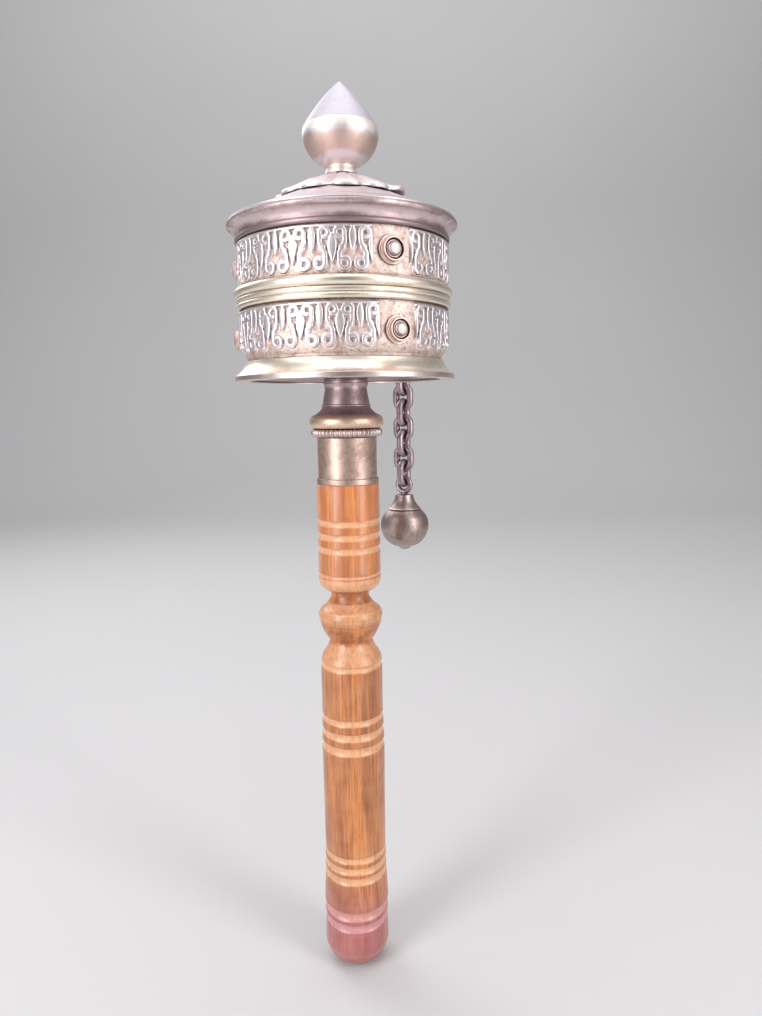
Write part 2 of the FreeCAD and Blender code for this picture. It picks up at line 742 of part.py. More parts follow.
def make_lid():
    turned("cap_cornice", [
        ("wall_radius + slip_gap", "cornice_foot"),
        ("cornice_foot_radius", "cornice_foot"),
        ("cornice_foot_radius", "cornice_bead_top", "cornice_bead_curve", ROUND),
        ("cornice_lip_radius", "cornice_lip_foot", "cornice_cove_curve", HOLLOW),
        ("cornice_lip_radius", "cornice_top", "cornice_lip_curve", ROUND),
        ("cornice_inner_radius", "cornice_top"),
        ("cornice_inner_radius", "wall_top + bore_gap"),
        ("wall_radius + slip_gap", "wall_top + bore_gap"),
    ])
    rim_foot = "cornice_top + seat_gap"
    neck = "lid_bush_radius + seat_gap"
    turned("cap_roof", [
        ("cornice_inner_radius", rim_foot),
        ("roof_rim_radius", rim_foot),
        ("roof_rim_radius", f"{rim_foot} + roof_rim_height"),
        ("roof_bend_radius", "roof_bend"),
        ("roof_neck_radius", "roof_neck"),
        (neck, "roof_neck"),
        (neck, "roof_neck - roof_thickness"),
        ("roof_neck_radius", "roof_neck - roof_thickness"),
        ("roof_bend_radius", "roof_bend - roof_thickness"),
    ])
    sleeve("upper_bushing", "spindle_radius + running_gap", "lid_bush_radius",
           "lid_bush_foot", "lid_bush_top")
    collar = turned("petal_collar", [
        ("petal_inner_radius", "roof_neck + seat_gap"),
        ("roof_bend_radius", "roof_bend + 2 * seat_gap"),
        ("petal_tip_radius", "roof_bend + 2 * seat_gap - (petal_tip_radius - roof_bend_radius)"
                             " * (roof_bend - cornice_top) / (roof_rim_radius - roof_bend_radius)"),
        ("petal_tip_radius", "roof_bend + petal_thickness"),
        ("petal_inner_radius", "roof_neck + petal_thickness"),
    ])
    notch = new_sketch(collar, "petal_notch", "XY_Plane")
    tip = "petal_tip_radius * cos(180 / petal_count)"
    half = "petal_tip_radius * sin(180 / petal_count)"
    beyond = "petal_tip_radius + petal_thickness"
    outline(notch, [
        (tip, f"-{half}", "petal_curve", HOLLOW),
        (beyond, f"-{half}"),
        (beyond, half),
        (tip, half),
        ("petal_notch_radius", "0", "petal_curve", HOLLOW),
    ])
    doc.recompute()
    whole = collar.Shape.Volume
    cut = collar.newObject("PartDesign::Pocket", "petal_cut")
    cut.Profile = notch
    cut.Type = "ThroughAll"
    cut.Reversed = True
    doc.recompute()
    petals = collar.newObject("PartDesign::PolarPattern", "petals")
    petals.Originals = [cut]
    petals.Axis = (notch, ["N_Axis"])
    petals.Angle = TURN
    petals.setExpression("Occurrences", bound("petal_count"))
    collar.Tip = petals
    collar.Placement = FreeCAD.Placement(
        FreeCAD.Vector(0, 0, 0),
        FreeCAD.Rotation(FreeCAD.Vector(0, 0, 1), value("petal_notch_angle")))
    doc.recompute()
    print(f"petal notches take {whole - collar.Shape.Volume:.1f} mm3 off the collar")


def make_finial():
    bore = "nut_radius + seat_gap"
    turned("finial_bulb", [
        (bore, "finial_foot"),
        ("finial_foot_radius", "finial_foot"),
        ("finial_foot_radius", "finial_foot + finial_foot_height"),
        ("finial_neck_radius", "finial_neck_foot"),
        ("finial_neck_radius", "finial_neck_top"),
        ("bud_radius", "bud_height", "bud_low_curve", ROUND),
        ("bud_crease_radius", "bud_crease", "bud_high_curve", ROUND),
        ("0", "bud_crease"),
        ("0", "nut_top + seat_gap"),
        (bore, "nut_top + seat_gap"),
    ])
    turned("finial_cone", [
        ("0", "bud_crease + seat_gap"),
        ("tip_foot_radius", "bud_crease + seat_gap"),
        ("tip_flat", "tip_top", "tip_curve", ROUND),
        ("0", "tip_top"),
    ])
    turned("finial_nut", [
        ("spindle_radius + running_gap", "finial_foot + seat_gap"),
        ("nut_radius", "finial_foot + seat_gap"),
        ("nut_radius", "nut_top"),
        ("0", "nut_top"),
        ("0", "nut_thread_top"),
        ("thread_radius + running_gap", "nut_thread_top"),
        ("thread_radius + running_gap", "nut_thread_foot"),
        ("spindle_radius + running_gap", "nut_thread_foot"),
    ])


# ---------------------------------------------------------------- chain and weight

def wire_eye(label, curve, wire, stem, direction):
    """A round eye with a stem from its edge, in its own XZ plane, centred on its origin."""
    ring = doc.addObject("Part::Torus", label + "_ring")
    ring.setExpression("Radius1", bound(curve))
    ring.setExpression("Radius2", bound(wire))
    ring.Placement = FreeCAD.Placement(
        FreeCAD.Vector(0, 0, 0), FreeCAD.Rotation(FreeCAD.Vector(1, 0, 0), QUARTER))
    rod = doc.addObject("Part::Cylinder", label + "_stem")
    rod.setExpression("Radius", bound(wire))
    rod.setExpression("Height", bound(stem))
    rod.Placement = FreeCAD.Placement(
        direction * value(curve), FreeCAD.Rotation(FreeCAD.Vector(0, 0, 1), direction))
    eye = doc.addObject("Part::Fuse", label)
    eye.Base = ring
    eye.Tool = rod
    return add_part(eye, label)


def make_staple():
    plate = add_part(doc.addObject("PartDesign::Body", "staple_plate"), "staple_plate")
    sketch = new_sketch(plate, "staple_plate_profile", "YZ_Plane")
    half = "plate_width / 2"
    top = "plate_foot + plate_height"
    outline(sketch, [
        (f"-{half}", "plate_foot"),
        (half, "plate_foot"),
        (half, top),
        (f"-{half}", top),
    ])
    pad = plate.newObject("PartDesign::Pad", "staple_plate_pad")
    pad.Profile = sketch
    pad.setExpression("Length", bound("plate_thickness"))
    doc.recompute()
    rounding = plate.newObject("PartDesign::Fillet", "staple_plate_corners")
    corners = [f"Edge{number}" for number, edge in enumerate(pad.Shape.Edges, start=1)
               if abs(edge.tangentAt(edge.FirstParameter).x) > PARALLEL]
    rounding.Base = (pad, corners)
    rounding.setExpression("Radius", bound("plate_corner"))
    plate.Tip = rounding
    place_polar(plate, "plate_radius", "0 mm", "chain_angle")
    stem = "hang_radius - link_curve - plate_radius - plate_thickness - seat_gap"
    eye = wire_eye("chain_staple", "link_curve", "link_wire", stem, FreeCAD.Vector(-1, 0, 0))
    place_polar(eye, "hang_radius", "eye_height", "chain_angle")


def make_links():
    """Each link is an oval of round wire. Odd links lie across the radius and even ones
    along it, so that each hangs through the one above."""
    for number in range(1, int(value("link_count")) + 1):
        label = f"chain_link_{number}"
        link = add_part(doc.addObject("PartDesign::Body", label), label)
        path = new_sketch(link, label + "_path", "XZ_Plane")
        outline(path, [
            ("-link_curve", "-link_straight"),
            ("link_curve", "-link_straight", ROUND),
            ("link_curve", "0"),
            ("-link_curve", "0", ROUND),
        ])
        section = new_sketch(link, label + "_section", "XY_Plane")
        circle = section.addGeometry(Part.Circle(
            FreeCAD.Vector(value("link_curve"), 0, 0), FreeCAD.Vector(0, 0, 1), value("link_wire")))
        hold_corner(section, circle, 3, "link_curve", "0")
        hold(section, "Radius", circle, "link_wire")
        pipe = link.newObject("PartDesign::AdditivePipe", label + "_wire")
        pipe.Profile = section
        pipe.Spine = path
        across = QUARTER if number % 2 else 0
        height = f"first_link_height - link_curve - {number - 1} * link_pitch"
        place_polar(link, "hang_radius", height, "chain_angle")
        link.Placement.Rotation = FreeCAD.Rotation(
            FreeCAD.Vector(0, 0, 1), value("chain_angle") + across)


def make_weight():
    eye = wire_eye("weight_eye", "weight_eye_curve", "weight_eye_wire", "weight_stem_length",
                   FreeCAD.Vector(0, 0, -1))
    place_polar(eye, "hang_radius", "weight_eye_height", "chain_angle")
    eye.Placement.Rotation = FreeCAD.Rotation(
        FreeCAD.Vector(0, 0, 1), value("chain_angle") + QUARTER)
    bore = "weight_eye_wire + seat_gap"
    stem_foot = "weight_eye_height - weight_eye_curve - weight_stem_length"
    cap = turned("weight_cap", [
        (bore, "cap_foot + seat_gap"),
        ("cap_foot_radius", "cap_foot + seat_gap"),
        ("cap_top_radius", "cap_top", "cap_curve", HOLLOW),
        (bore, "cap_top"),
    ])
    bead = turned("weight_bead", [
        ("0", "bead_foot"),
        ("bead_foot_radius", "bead_foot"),
        ("bead_radius", "bead_height", "bead_low_curve", ROUND),
        ("bead_top_radius", "cap_foot", "bead_high_curve", ROUND),
        (bore, "cap_foot"),
        (bore, f"{stem_foot} - seat_gap"),
        ("0", f"{stem_foot} - seat_gap"),
    ])
    button = turned("weight_button", [
        ("0", "button_foot"),
        ("button_flat", "button_foot"),
        ("button_radius", "bead_foot - seat_gap", "button_curve", ROUND),
        ("0", "bead_foot - seat_gap"),
    ])
    for piece in (cap, bead, button):
        place_polar(piece, "hang_radius", "0 mm", "chain_angle")


def write_parts():
    doc.recompute()
    for item in doc.Objects:
        if "Invalid" in item.State or "Error" in item.State:
            raise RuntimeError(f"{item.Label} failed: {item.State}")
    os.makedirs("parts", exist_ok=True)
    for piece in PARTS:
        if piece.Shape.isNull() or not piece.Shape.isValid() or piece.Shape.Volume <= 0:
            raise RuntimeError(f"{piece.Label} has no good shape")
    for piece in PARTS:
        piece.Shape.exportStep(os.path.join("parts", piece.Label + ".step"))
    print(f"{len(PARTS)} parts written")


make_grip()
make_spindle()
make_ferrule()
make_drum_shell()
make_friezes()
make_studs()
make_contents()
make_lid()
make_finial()
make_staple()
make_links()
make_weight()
write_parts()
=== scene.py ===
import math

import bpy
import numpy as np
from mathutils import Matrix, Vector, noise


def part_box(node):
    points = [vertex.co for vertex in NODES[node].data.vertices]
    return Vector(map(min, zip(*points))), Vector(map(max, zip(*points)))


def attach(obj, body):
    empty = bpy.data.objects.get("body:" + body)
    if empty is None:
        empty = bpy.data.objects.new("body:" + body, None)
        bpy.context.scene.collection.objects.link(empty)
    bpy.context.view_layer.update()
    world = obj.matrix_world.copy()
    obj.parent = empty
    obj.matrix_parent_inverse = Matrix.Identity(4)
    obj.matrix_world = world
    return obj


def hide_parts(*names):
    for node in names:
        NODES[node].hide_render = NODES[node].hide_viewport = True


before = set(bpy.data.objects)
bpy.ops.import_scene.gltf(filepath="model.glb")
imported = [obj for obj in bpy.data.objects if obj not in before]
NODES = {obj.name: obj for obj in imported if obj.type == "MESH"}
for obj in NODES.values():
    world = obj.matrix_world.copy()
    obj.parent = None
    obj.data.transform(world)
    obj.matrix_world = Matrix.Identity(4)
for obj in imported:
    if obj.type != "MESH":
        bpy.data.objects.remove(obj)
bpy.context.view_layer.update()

# Hand prayer wheel: the looks of every piece, built round the CAD frame. Lengths are in
# metres, written as millimetres times MM. The front of the wheel is -Y.
MM = 0.001
TURN = 2 * math.pi
UP = Vector((0, 0, 1))
REGISTERS = ("upper", "lower")
REGISTER_COUNT = 3
WALL_RADIUS = 27.65 * MM

# Stretches of the handle given a painted highlight, as light from above falls on them: foot, top and
# how much.
HIGHLIT_BANDS = [
    (93.4 * MM, 99.4 * MM, 0.70),
    (105.9 * MM, 111.4 * MM, 0.60),
    (115.2 * MM, 118.8 * MM, 0.85),
]


# ---- materials

class Paint:
    """The node tree of one material. Its calls return sockets, so they nest like a formula."""

    def __init__(self, name, **levels):
        self.material = bpy.data.materials.new(name)
        self.material.use_nodes = True
        self.nodes = self.material.node_tree.nodes
        self.links = self.material.node_tree.links
        self.shader = self.nodes["Principled BSDF"]
        for socket, level in levels.items():
            self.shader.inputs[socket.replace("_", " ")].default_value = level
        self.place = self.nodes.new("ShaderNodeTexCoord").outputs["Object"]

    def feed(self, socket, given):
        if isinstance(given, bpy.types.NodeSocket):
            self.links.new(given, socket)
        elif isinstance(given, tuple) and len(given) == 3 and socket.type == "RGBA":
            socket.default_value = (*given, 1)
        else:
            socket.default_value = given

    def node(self, kind, inputs, **settings):
        node = self.nodes.new("ShaderNode" + kind)
        for name, level in settings.items():
            setattr(node, name, level)
        for name, given in inputs.items():
            self.feed(node.inputs[name], given)
        return node

    def maths(self, operation, a, b=0.0):
        return self.node("Math", {0: a, 1: b}, operation=operation).outputs[0]

    def span(self, level, low, high, start=0.0, end=1.0):
        """A level between low and high, spread smoothly from start to end and held there."""
        inputs = {"Value": level, "From Min": low, "From Max": high, "To Min": start, "To Max": end}
        return self.node("MapRange", inputs, interpolation_type="SMOOTHSTEP").outputs["Result"]

    def blend(self, level, a, b, mode="MIX"):
        node = self.node("Mix", {}, data_type="RGBA", blend_type=mode, clamp_factor=True)
        for socket, given in zip((node.inputs[0], node.inputs[6], node.inputs[7]), (level, a, b)):
            self.feed(socket, given)
        return node.outputs[2]

    def stretched(self, x, y, z):
        """Object coordinates, with each axis counted in its own length."""
        inputs = {"Vector": self.place, "Scale": (1 / x, 1 / y, 1 / z)}
        return self.node("Mapping", inputs).outputs[0]

    def height(self):
        return self.node("SeparateXYZ", {"Vector": self.place}).outputs["Z"]

    def hoops(self, across, round_about=4.0):
        """Coordinates whose noise makes fine rings round the wheel's axis."""
        parts = self.node("SeparateXYZ", {"Vector": self.place}).outputs
        radius = self.maths("SQRT", self.maths(
            "ADD", self.maths("POWER", parts["X"], 2.0), self.maths("POWER", parts["Y"], 2.0)))
        safe = self.maths("MAXIMUM", radius, 1e-5)
        turns = [self.maths("MULTIPLY", self.maths("DIVIDE", parts[axis], safe), round_about)
                 for axis in ("X", "Y")]
        rise = self.maths("ADD", parts["Z"], self.maths("MULTIPLY", radius, 0.7))
        inputs = {"X": turns[0], "Y": turns[1], "Z": self.maths("DIVIDE", rise, across)}
        return self.node("CombineXYZ", inputs).outputs[0]

    def noise(self, size, detail=3.0, rough=0.55, place=None, warp=0.0):
        """Noise from 0 to 1 whose grains are about size metres, or 1 in given coordinates."""
        inputs = {"Vector": place or self.place, "Scale": 1 / size, "Detail": detail,
                  "Roughness": rough, "Distortion": warp}
        return self.node("TexNoise", inputs).outputs["Fac"]

    def cells(self, size):
        """Distance to the nearest of many scattered points, for pits."""
        return self.node("TexVoronoi", {"Vector": self.place, "Scale": 1 / size}).outputs["Distance"]

    def cover(self, reach, inside=False):
        """1 where a point is open to the air within reach, 0 deep in a corner. Inside, it is
        low at thin edges instead."""
        node = self.node("AmbientOcclusion", {"Distance": reach}, samples=8, inside=inside)
        return node.outputs["AO"]

    def bump(self, height, depth, strength=1.0, below=None):
        inputs = {"Height": height, "Distance": depth, "Strength": strength}
        if below:
            inputs["Normal"] = below
        return self.node("Bump", inputs).outputs["Normal"]

    def finish(self, colour=None, roughness=None, normal=None):
        for name, given in (("Base Color", colour), ("Roughness", roughness), ("Normal", normal)):
            if given is not None:
                self.feed(self.shader.inputs[name], given)
        return self.material


def worn_metal(name, clean, tarnish, grime_and_shade, polish, patch=6 * MM, stained=0.5, brushed=0.0,
               pitted=0.3, crevice=0.9 * MM, speck=None, grain=0.0, edge_wear_and_highlight=0.7, streaked=False,
               belts=()):
    """Old hand-worked metal: tarnish in patches or streaks, dirt and painted shade in the hollows,
    edges lightened as rubbed wear and as a painted highlight, fine tool rings and small pits. A belt
    is (foot, top, colour, share): a tint between two heights, with a ragged edge."""
    paint = Paint(name, Metallic=1.0)
    if streaked:
        patches = paint.noise(1.0, 5.0, 0.62, paint.hoops(1.5 * MM, 2.0), 0.3)
    else:
        patches = paint.noise(patch, 5.0, 0.62, warp=0.4)
    fine = paint.noise(0.5 * MM, 3.0, 0.6)
    mottle = paint.maths("ADD", paint.maths("MULTIPLY", patches, 0.72),
                         paint.maths("MULTIPLY", fine, 0.28))
    stain = paint.span(mottle, 0.62 - 0.3 * stained, 0.78 - 0.3 * stained)
    colour = paint.blend(stain, clean, tarnish)
    if speck:
        spots = paint.span(paint.noise(0.9 * MM, 4.0, 0.7), 0.53, 0.64)
        colour = paint.blend(paint.maths("MULTIPLY", spots, 0.75), colour, speck)
    if belts:
        ragged = paint.maths("ADD", paint.height(), paint.maths(
            "MULTIPLY", paint.maths("SUBTRACT", patches, 0.5), 4 * MM))
    fade = 0.6 * MM
    for foot, top, tint, share in belts:
        rising = paint.span(ragged, foot - fade, foot + fade)
        falling = paint.span(ragged, top + fade, top - fade)
        belt = paint.maths("MULTIPLY", paint.maths("MULTIPLY", rising, falling), share)
        colour = paint.blend(belt, colour, tint)
    # Dirt and painted shade: the colour darkens towards the grime colour where ambient occlusion
    # finds a hollow.
    hollow = paint.span(paint.cover(crevice), 0.88, 0.35)
    dirt_and_shade = paint.maths("MULTIPLY", hollow, paint.span(fine, 0.25, 0.6, 0.65, 1.0))
    colour = paint.blend(dirt_and_shade, colour, grime_and_shade)
    # Edges lighten as rubbed wear and as a painted highlight.
    edge = paint.span(paint.cover(0.35 * MM, inside=True), 0.80, 0.45)
    wear_and_highlight_colour = tuple(min(1.0, 1.25 * level + 0.06) for level in clean)
    colour = paint.blend(paint.maths("MULTIPLY", edge, edge_wear_and_highlight), colour, wear_and_highlight_colour)
    rings = paint.noise(1.0, 3.0, 0.7, paint.hoops(0.22 * MM))
    pits = paint.span(paint.cells(0.9 * MM), 0.05, 0.22)
    roughness = paint.maths("ADD", polish, paint.maths("MULTIPLY", stain, 0.10))
    roughness = paint.maths("ADD", roughness, paint.maths("MULTIPLY", dirt_and_shade, 0.30))
    roughness = paint.maths("ADD", roughness, paint.maths(
        "MULTIPLY", paint.maths("SUBTRACT", rings, 0.5), 0.25 * brushed))
    normal = paint.bump(paint.noise(3.5 * MM, 2.0), 0.10 * MM, 0.35)
    normal = paint.bump(rings, 0.02 * MM, brushed, normal)
    if grain:
        normal = paint.bump(paint.noise(0.55 * MM, 4.0, 0.7), 0.10 * MM, grain, normal)
    normal = paint.bump(pits, 0.03 * MM, pitted, normal)
    return paint.finish(colour, roughness, normal)


def wood():
    """Oiled, turned hardwood: long grain up the stick, a painted highlight in the coves and on some
    bands, darker in the pores, warmer towards the top and rosy round the heel."""
    paint = Paint("turned_wood", Coat_Weight=0.40, Coat_Roughness=0.26, IOR=1.5,
                  Sheen_Weight=0.25, Sheen_Roughness=0.3, Sheen_Tint=(0.80, 0.50, 0.62, 1))
    broad = paint.noise(1.0, 3.0, 0.55, paint.stretched(3.2 * MM, 3.2 * MM, 55 * MM), 0.6)
    streak = paint.noise(1.0, 5.0, 0.65, paint.stretched(0.7 * MM, 0.7 * MM, 16 * MM), 0.3)
    pores = paint.noise(1.0, 2.0, 0.5, paint.stretched(0.22 * MM, 0.22 * MM, 3.2 * MM))
    colour = paint.blend(paint.span(broad, 0.32, 0.68), (0.33, 0.102, 0.027), (0.60, 0.215, 0.060))
    colour = paint.blend(paint.span(streak, 0.42, 0.70, 0.0, 0.75), colour, (0.20, 0.062, 0.020))
    colour = paint.blend(paint.span(streak, 0.45, 0.25, 0.0, 0.5), colour, (0.62, 0.29, 0.10))
    colour = paint.blend(paint.span(pores, 0.60, 0.72, 0.0, 0.6), colour, (0.10, 0.030, 0.012))
    height = paint.height()
    heel = paint.span(height, 32 * MM, 12 * MM)
    colour = paint.blend(paint.maths("MULTIPLY", heel, 0.65), colour, (0.34, 0.095, 0.125))
    head = paint.span(height, 108 * MM, 130 * MM)
    colour = paint.blend(head, colour, (0.15, 0.05, 0.02), "ADD")
    # Painted highlight: a point attribute pales the wood in the coves and on some bands.
    highlight_share = paint.node("Attribute", {}, attribute_name="highlight_share").outputs["Fac"]
    painted_highlight = paint.maths("MULTIPLY", highlight_share, paint.span(streak, 0.75, 0.35, 0.55, 0.95))
    highlight_colour = paint.blend(heel, (0.76, 0.42, 0.23), (0.60, 0.29, 0.31))
    colour = paint.blend(painted_highlight, colour, highlight_colour)
    roughness = paint.span(broad, 0.3, 0.7, 0.30, 0.42)
    normal = paint.bump(streak, 0.06 * MM, 0.5)
    normal = paint.bump(pores, 0.05 * MM, 0.5, normal)
    return paint.finish(colour, roughness, normal)


def pearl():
    """Polished shell, milky with faint green and rose."""
    paint = Paint("white_stone", Subsurface_Weight=0.25, Subsurface_Scale=0.001,
                  Coat_Weight=0.6, Coat_Roughness=0.08, Roughness=0.25)
    cloud = paint.noise(0.9 * MM, 3.0, 0.6, warp=1.0)
    colour = paint.blend(paint.span(cloud, 0.35, 0.65), (0.60, 0.64, 0.56), (0.80, 0.74, 0.69))
    vein = paint.span(paint.noise(0.5 * MM, 4.0, 0.7, warp=1.6), 0.60, 0.74, 0.0, 0.35)
    colour = paint.blend(vein, colour, (0.50, 0.52, 0.44))
    return paint.finish(colour, normal=paint.bump(cloud, 0.05 * MM, 0.3))


def paper():
    """Hand-laid paper seen at its rolled edges."""
    paint = Paint("scroll_paper", Roughness=0.85)
    layers = paint.noise(1.0, 2.0, 0.5, paint.hoops(0.25 * MM, 1.5))
    fibre = paint.noise(1.6 * MM, 5.0, 0.7)
    colour = paint.blend(paint.span(layers, 0.3, 0.7), (0.42, 0.30, 0.17), (0.80, 0.68, 0.46))
    colour = paint.blend(paint.span(fibre, 0.5, 0.75, 0.0, 0.5), colour, (0.55, 0.42, 0.26))
    return paint.finish(colour, normal=paint.bump(layers, 0.15 * MM, 0.8))


def cloth():
    """Plain woven cotton, dyed saffron."""
    paint = Paint("scroll_cloth", Roughness=0.9, Sheen_Weight=0.4)
    warp_thread = paint.noise(1.0, 1.0, 0.4, paint.stretched(0.4 * MM, 0.4 * MM, 4 * MM))
    weft_thread = paint.noise(1.0, 1.0, 0.4, paint.stretched(4 * MM, 4 * MM, 0.35 * MM))
    weave = paint.maths("ADD", warp_thread, weft_thread)
    colour = paint.blend(paint.span(weave, 0.7, 1.3), (0.52, 0.19, 0.030), (0.74, 0.34, 0.065))
    return paint.finish(colour, normal=paint.bump(weave, 0.2 * MM, 0.8))


def stage_paper():
    """Pale seamless paper under and behind the wheel."""
    paint = Paint("stage_paper", Roughness=0.9)
    tone = paint.noise(0.35, 2.0)
    return paint.finish(paint.blend(tone, (0.56, 0.555, 0.56), (0.60, 0.595, 0.60)))


METALS = {
    "bud_silver": dict(
        clean=(0.72, 0.66, 0.70), tarnish=(0.60, 0.51, 0.51), grime_and_shade=(0.20, 0.14, 0.13),
        polish=0.52, stained=0.45, brushed=0.2, pitted=0.15, grain=0.1, belts=(
            # Belts: a warm painted reflection across the bulb's middle, a pale cream band at the
            # foot, and a painted highlight under the crease.
            (231.0 * MM, 235.8 * MM, (0.60, 0.42, 0.34), 0.75),
            (227.0 * MM, 230.2 * MM, (0.84, 0.73, 0.68), 0.7),
            (236.8 * MM, 239.6 * MM, (0.92, 0.87, 0.80), 0.85))),
    "cone_silver": dict(
        clean=(0.58, 0.55, 0.60), tarnish=(0.52, 0.48, 0.53), grime_and_shade=(0.20, 0.14, 0.13),
        polish=0.60, stained=0.35, brushed=0.2, pitted=0.15),
    "roof_silver": dict(
        clean=(0.68, 0.61, 0.65), tarnish=(0.54, 0.43, 0.40), grime_and_shade=(0.16, 0.10, 0.09),
        polish=0.42, stained=0.5, brushed=1.0, pitted=0.2, streaked=True),
    "petal_silver": dict(
        clean=(0.82, 0.75, 0.76), tarnish=(0.70, 0.59, 0.57), grime_and_shade=(0.14, 0.085, 0.08),
        polish=0.52, stained=0.4, brushed=0.1, pitted=0.3, patch=3 * MM, crevice=0.6 * MM),
    "cornice_silver": dict(
        clean=(0.54, 0.43, 0.44), tarnish=(0.38, 0.29, 0.305), grime_and_shade=(0.08, 0.05, 0.05),
        polish=0.46, stained=0.6, brushed=0.6, pitted=0.2, crevice=1.3 * MM, belts=(
            # Painted light and shade for the cornice's profile: painted shade on the bead and the
            # cove's foot, a painted highlight on the lip's face, painted shade along the top edge.
            (208.0 * MM, 210.9 * MM, (0.30, 0.225, 0.24), 0.75),
            (211.2 * MM, 213.0 * MM, (0.78, 0.65, 0.65), 0.75),
            (213.4 * MM, 215.0 * MM, (0.38, 0.30, 0.31), 0.6))),
    "aged_copper": dict(
        clean=(0.74, 0.63, 0.58), tarnish=(0.60, 0.46, 0.41), grime_and_shade=(0.18, 0.10, 0.085),
        polish=0.48, stained=0.6, brushed=0.1, pitted=1.0, patch=4 * MM, crevice=1.8 * MM,
        speck=(0.34, 0.20, 0.15), grain=1.4),
    "relief_silver": dict(
        clean=(0.80, 0.75, 0.77), tarnish=(0.68, 0.61, 0.62), grime_and_shade=(0.09, 0.055, 0.05),
        polish=0.40, stained=0.5, brushed=0.1, pitted=0.4, patch=3 * MM, crevice=0.7 * MM,
        grain=0.25),
    "pale_brass": dict(
        clean=(0.95, 0.87, 0.74), tarnish=(0.80, 0.69, 0.56), grime_and_shade=(0.20, 0.12, 0.08),
        polish=0.34, stained=0.45, brushed=0.8, pitted=0.15, belts=(
            (172.0 * MM, 174.8 * MM, (0.66, 0.54, 0.53), 0.7),)),
    "collar_brass": dict(
        clean=(0.82, 0.62, 0.47), tarnish=(0.64, 0.46, 0.34), grime_and_shade=(0.14, 0.08, 0.055),
        polish=0.42, stained=0.5, brushed=0.3, pitted=0.15),
    "bezel_silver": dict(
        clean=(0.72, 0.56, 0.51), tarnish=(0.52, 0.38, 0.34), grime_and_shade=(0.08, 0.045, 0.035),
        polish=0.42, stained=0.45, brushed=0.0, pitted=0.2, patch=2 * MM, crevice=1.0 * MM,
        edge_wear_and_highlight=0.75),
    "ferrule_silver": dict(
        clean=(0.56, 0.42, 0.36), tarnish=(0.38, 0.265, 0.22), grime_and_shade=(0.12, 0.07, 0.055),
        polish=0.46, stained=0.55, brushed=0.4, pitted=0.3),
    "bead_silver": dict(
        clean=(0.58, 0.47, 0.45), tarnish=(0.42, 0.33, 0.31), grime_and_shade=(0.10, 0.06, 0.05),
        polish=0.32, stained=0.45, brushed=0.0, pitted=0.1, crevice=0.6 * MM),
    "neck_silver": dict(
        clean=(0.52, 0.40, 0.41), tarnish=(0.36, 0.265, 0.275), grime_and_shade=(0.09, 0.05, 0.05),
        polish=0.42, stained=0.55, brushed=0.5, pitted=0.2),
    # A darker silver: painted shade on the drum's underside plate; it also colours the stones' lips.
    "dark_silver": dict(
        clean=(0.38, 0.29, 0.31), tarnish=(0.26, 0.19, 0.20), grime_and_shade=(0.06, 0.035, 0.035),
        polish=0.44, stained=0.5, brushed=0.1, pitted=0.2, patch=2 * MM, crevice=0.6 * MM,
        edge_wear_and_highlight=0.2),
    "chain_metal": dict(
        clean=(0.46, 0.37, 0.40), tarnish=(0.33, 0.26, 0.28), grime_and_shade=(0.09, 0.06, 0.06),
        polish=0.44, stained=0.6, brushed=0.0, pitted=0.5, patch=3 * MM),
    "weight_metal": dict(
        clean=(0.46, 0.37, 0.345), tarnish=(0.30, 0.23, 0.21), grime_and_shade=(0.07, 0.045, 0.04),
        polish=0.40, stained=0.55, brushed=0.0, pitted=0.4),
    "bush_brass": dict(
        clean=(0.72, 0.52, 0.26), tarnish=(0.50, 0.34, 0.16), grime_and_shade=(0.14, 0.09, 0.05),
        polish=0.25, stained=0.4, brushed=0.8, pitted=0.1),
    "steel_rod": dict(
        clean=(0.46, 0.45, 0.46), tarnish=(0.30, 0.25, 0.22), grime_and_shade=(0.10, 0.07, 0.05),
        polish=0.30, stained=0.5, brushed=0.9, pitted=0.3),
}
LOOKS = {name: worn_metal(name, **look) for name, look in METALS.items()}
LOOKS.update(turned_wood=wood(), white_stone=pearl(), scroll_paper=paper(), scroll_cloth=cloth())


# ---- mesh helpers

def linked(name, points, faces, material):
    """A mesh object in the scene."""
    mesh = bpy.data.meshes.new(name)
    mesh.from_pydata([tuple(point) for point in points], [], faces)
    mesh.materials.append(material)
    made = bpy.data.objects.new(name, mesh)
    bpy.context.scene.collection.objects.link(made)
    return made


def new_piece(name, points, faces, look, body, replaces=()):
    """A smooth mesh piece that rides on a body and may stand for CAD nodes."""
    piece = linked(name, points, faces, LOOKS[look])
    piece.data.polygons.foreach_set("use_smooth", [True] * len(faces))
    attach(piece, body)
    if replaces:
        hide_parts(*replaces)
    return piece


def at(radius, angle, height):
    """A point at an angle round the wheel's axis."""
    return radius * math.cos(angle), radius * math.sin(angle), height


def axis_frame(origin, along):
    """Origin and three unit vectors, the last one along the axis."""
    axis = Vector(along).normalized()
    side = Vector((1, 0, 0)) if abs(axis.z) > 0.9 else UP.cross(axis).normalized()
    return Vector(origin), side, axis.cross(side), axis


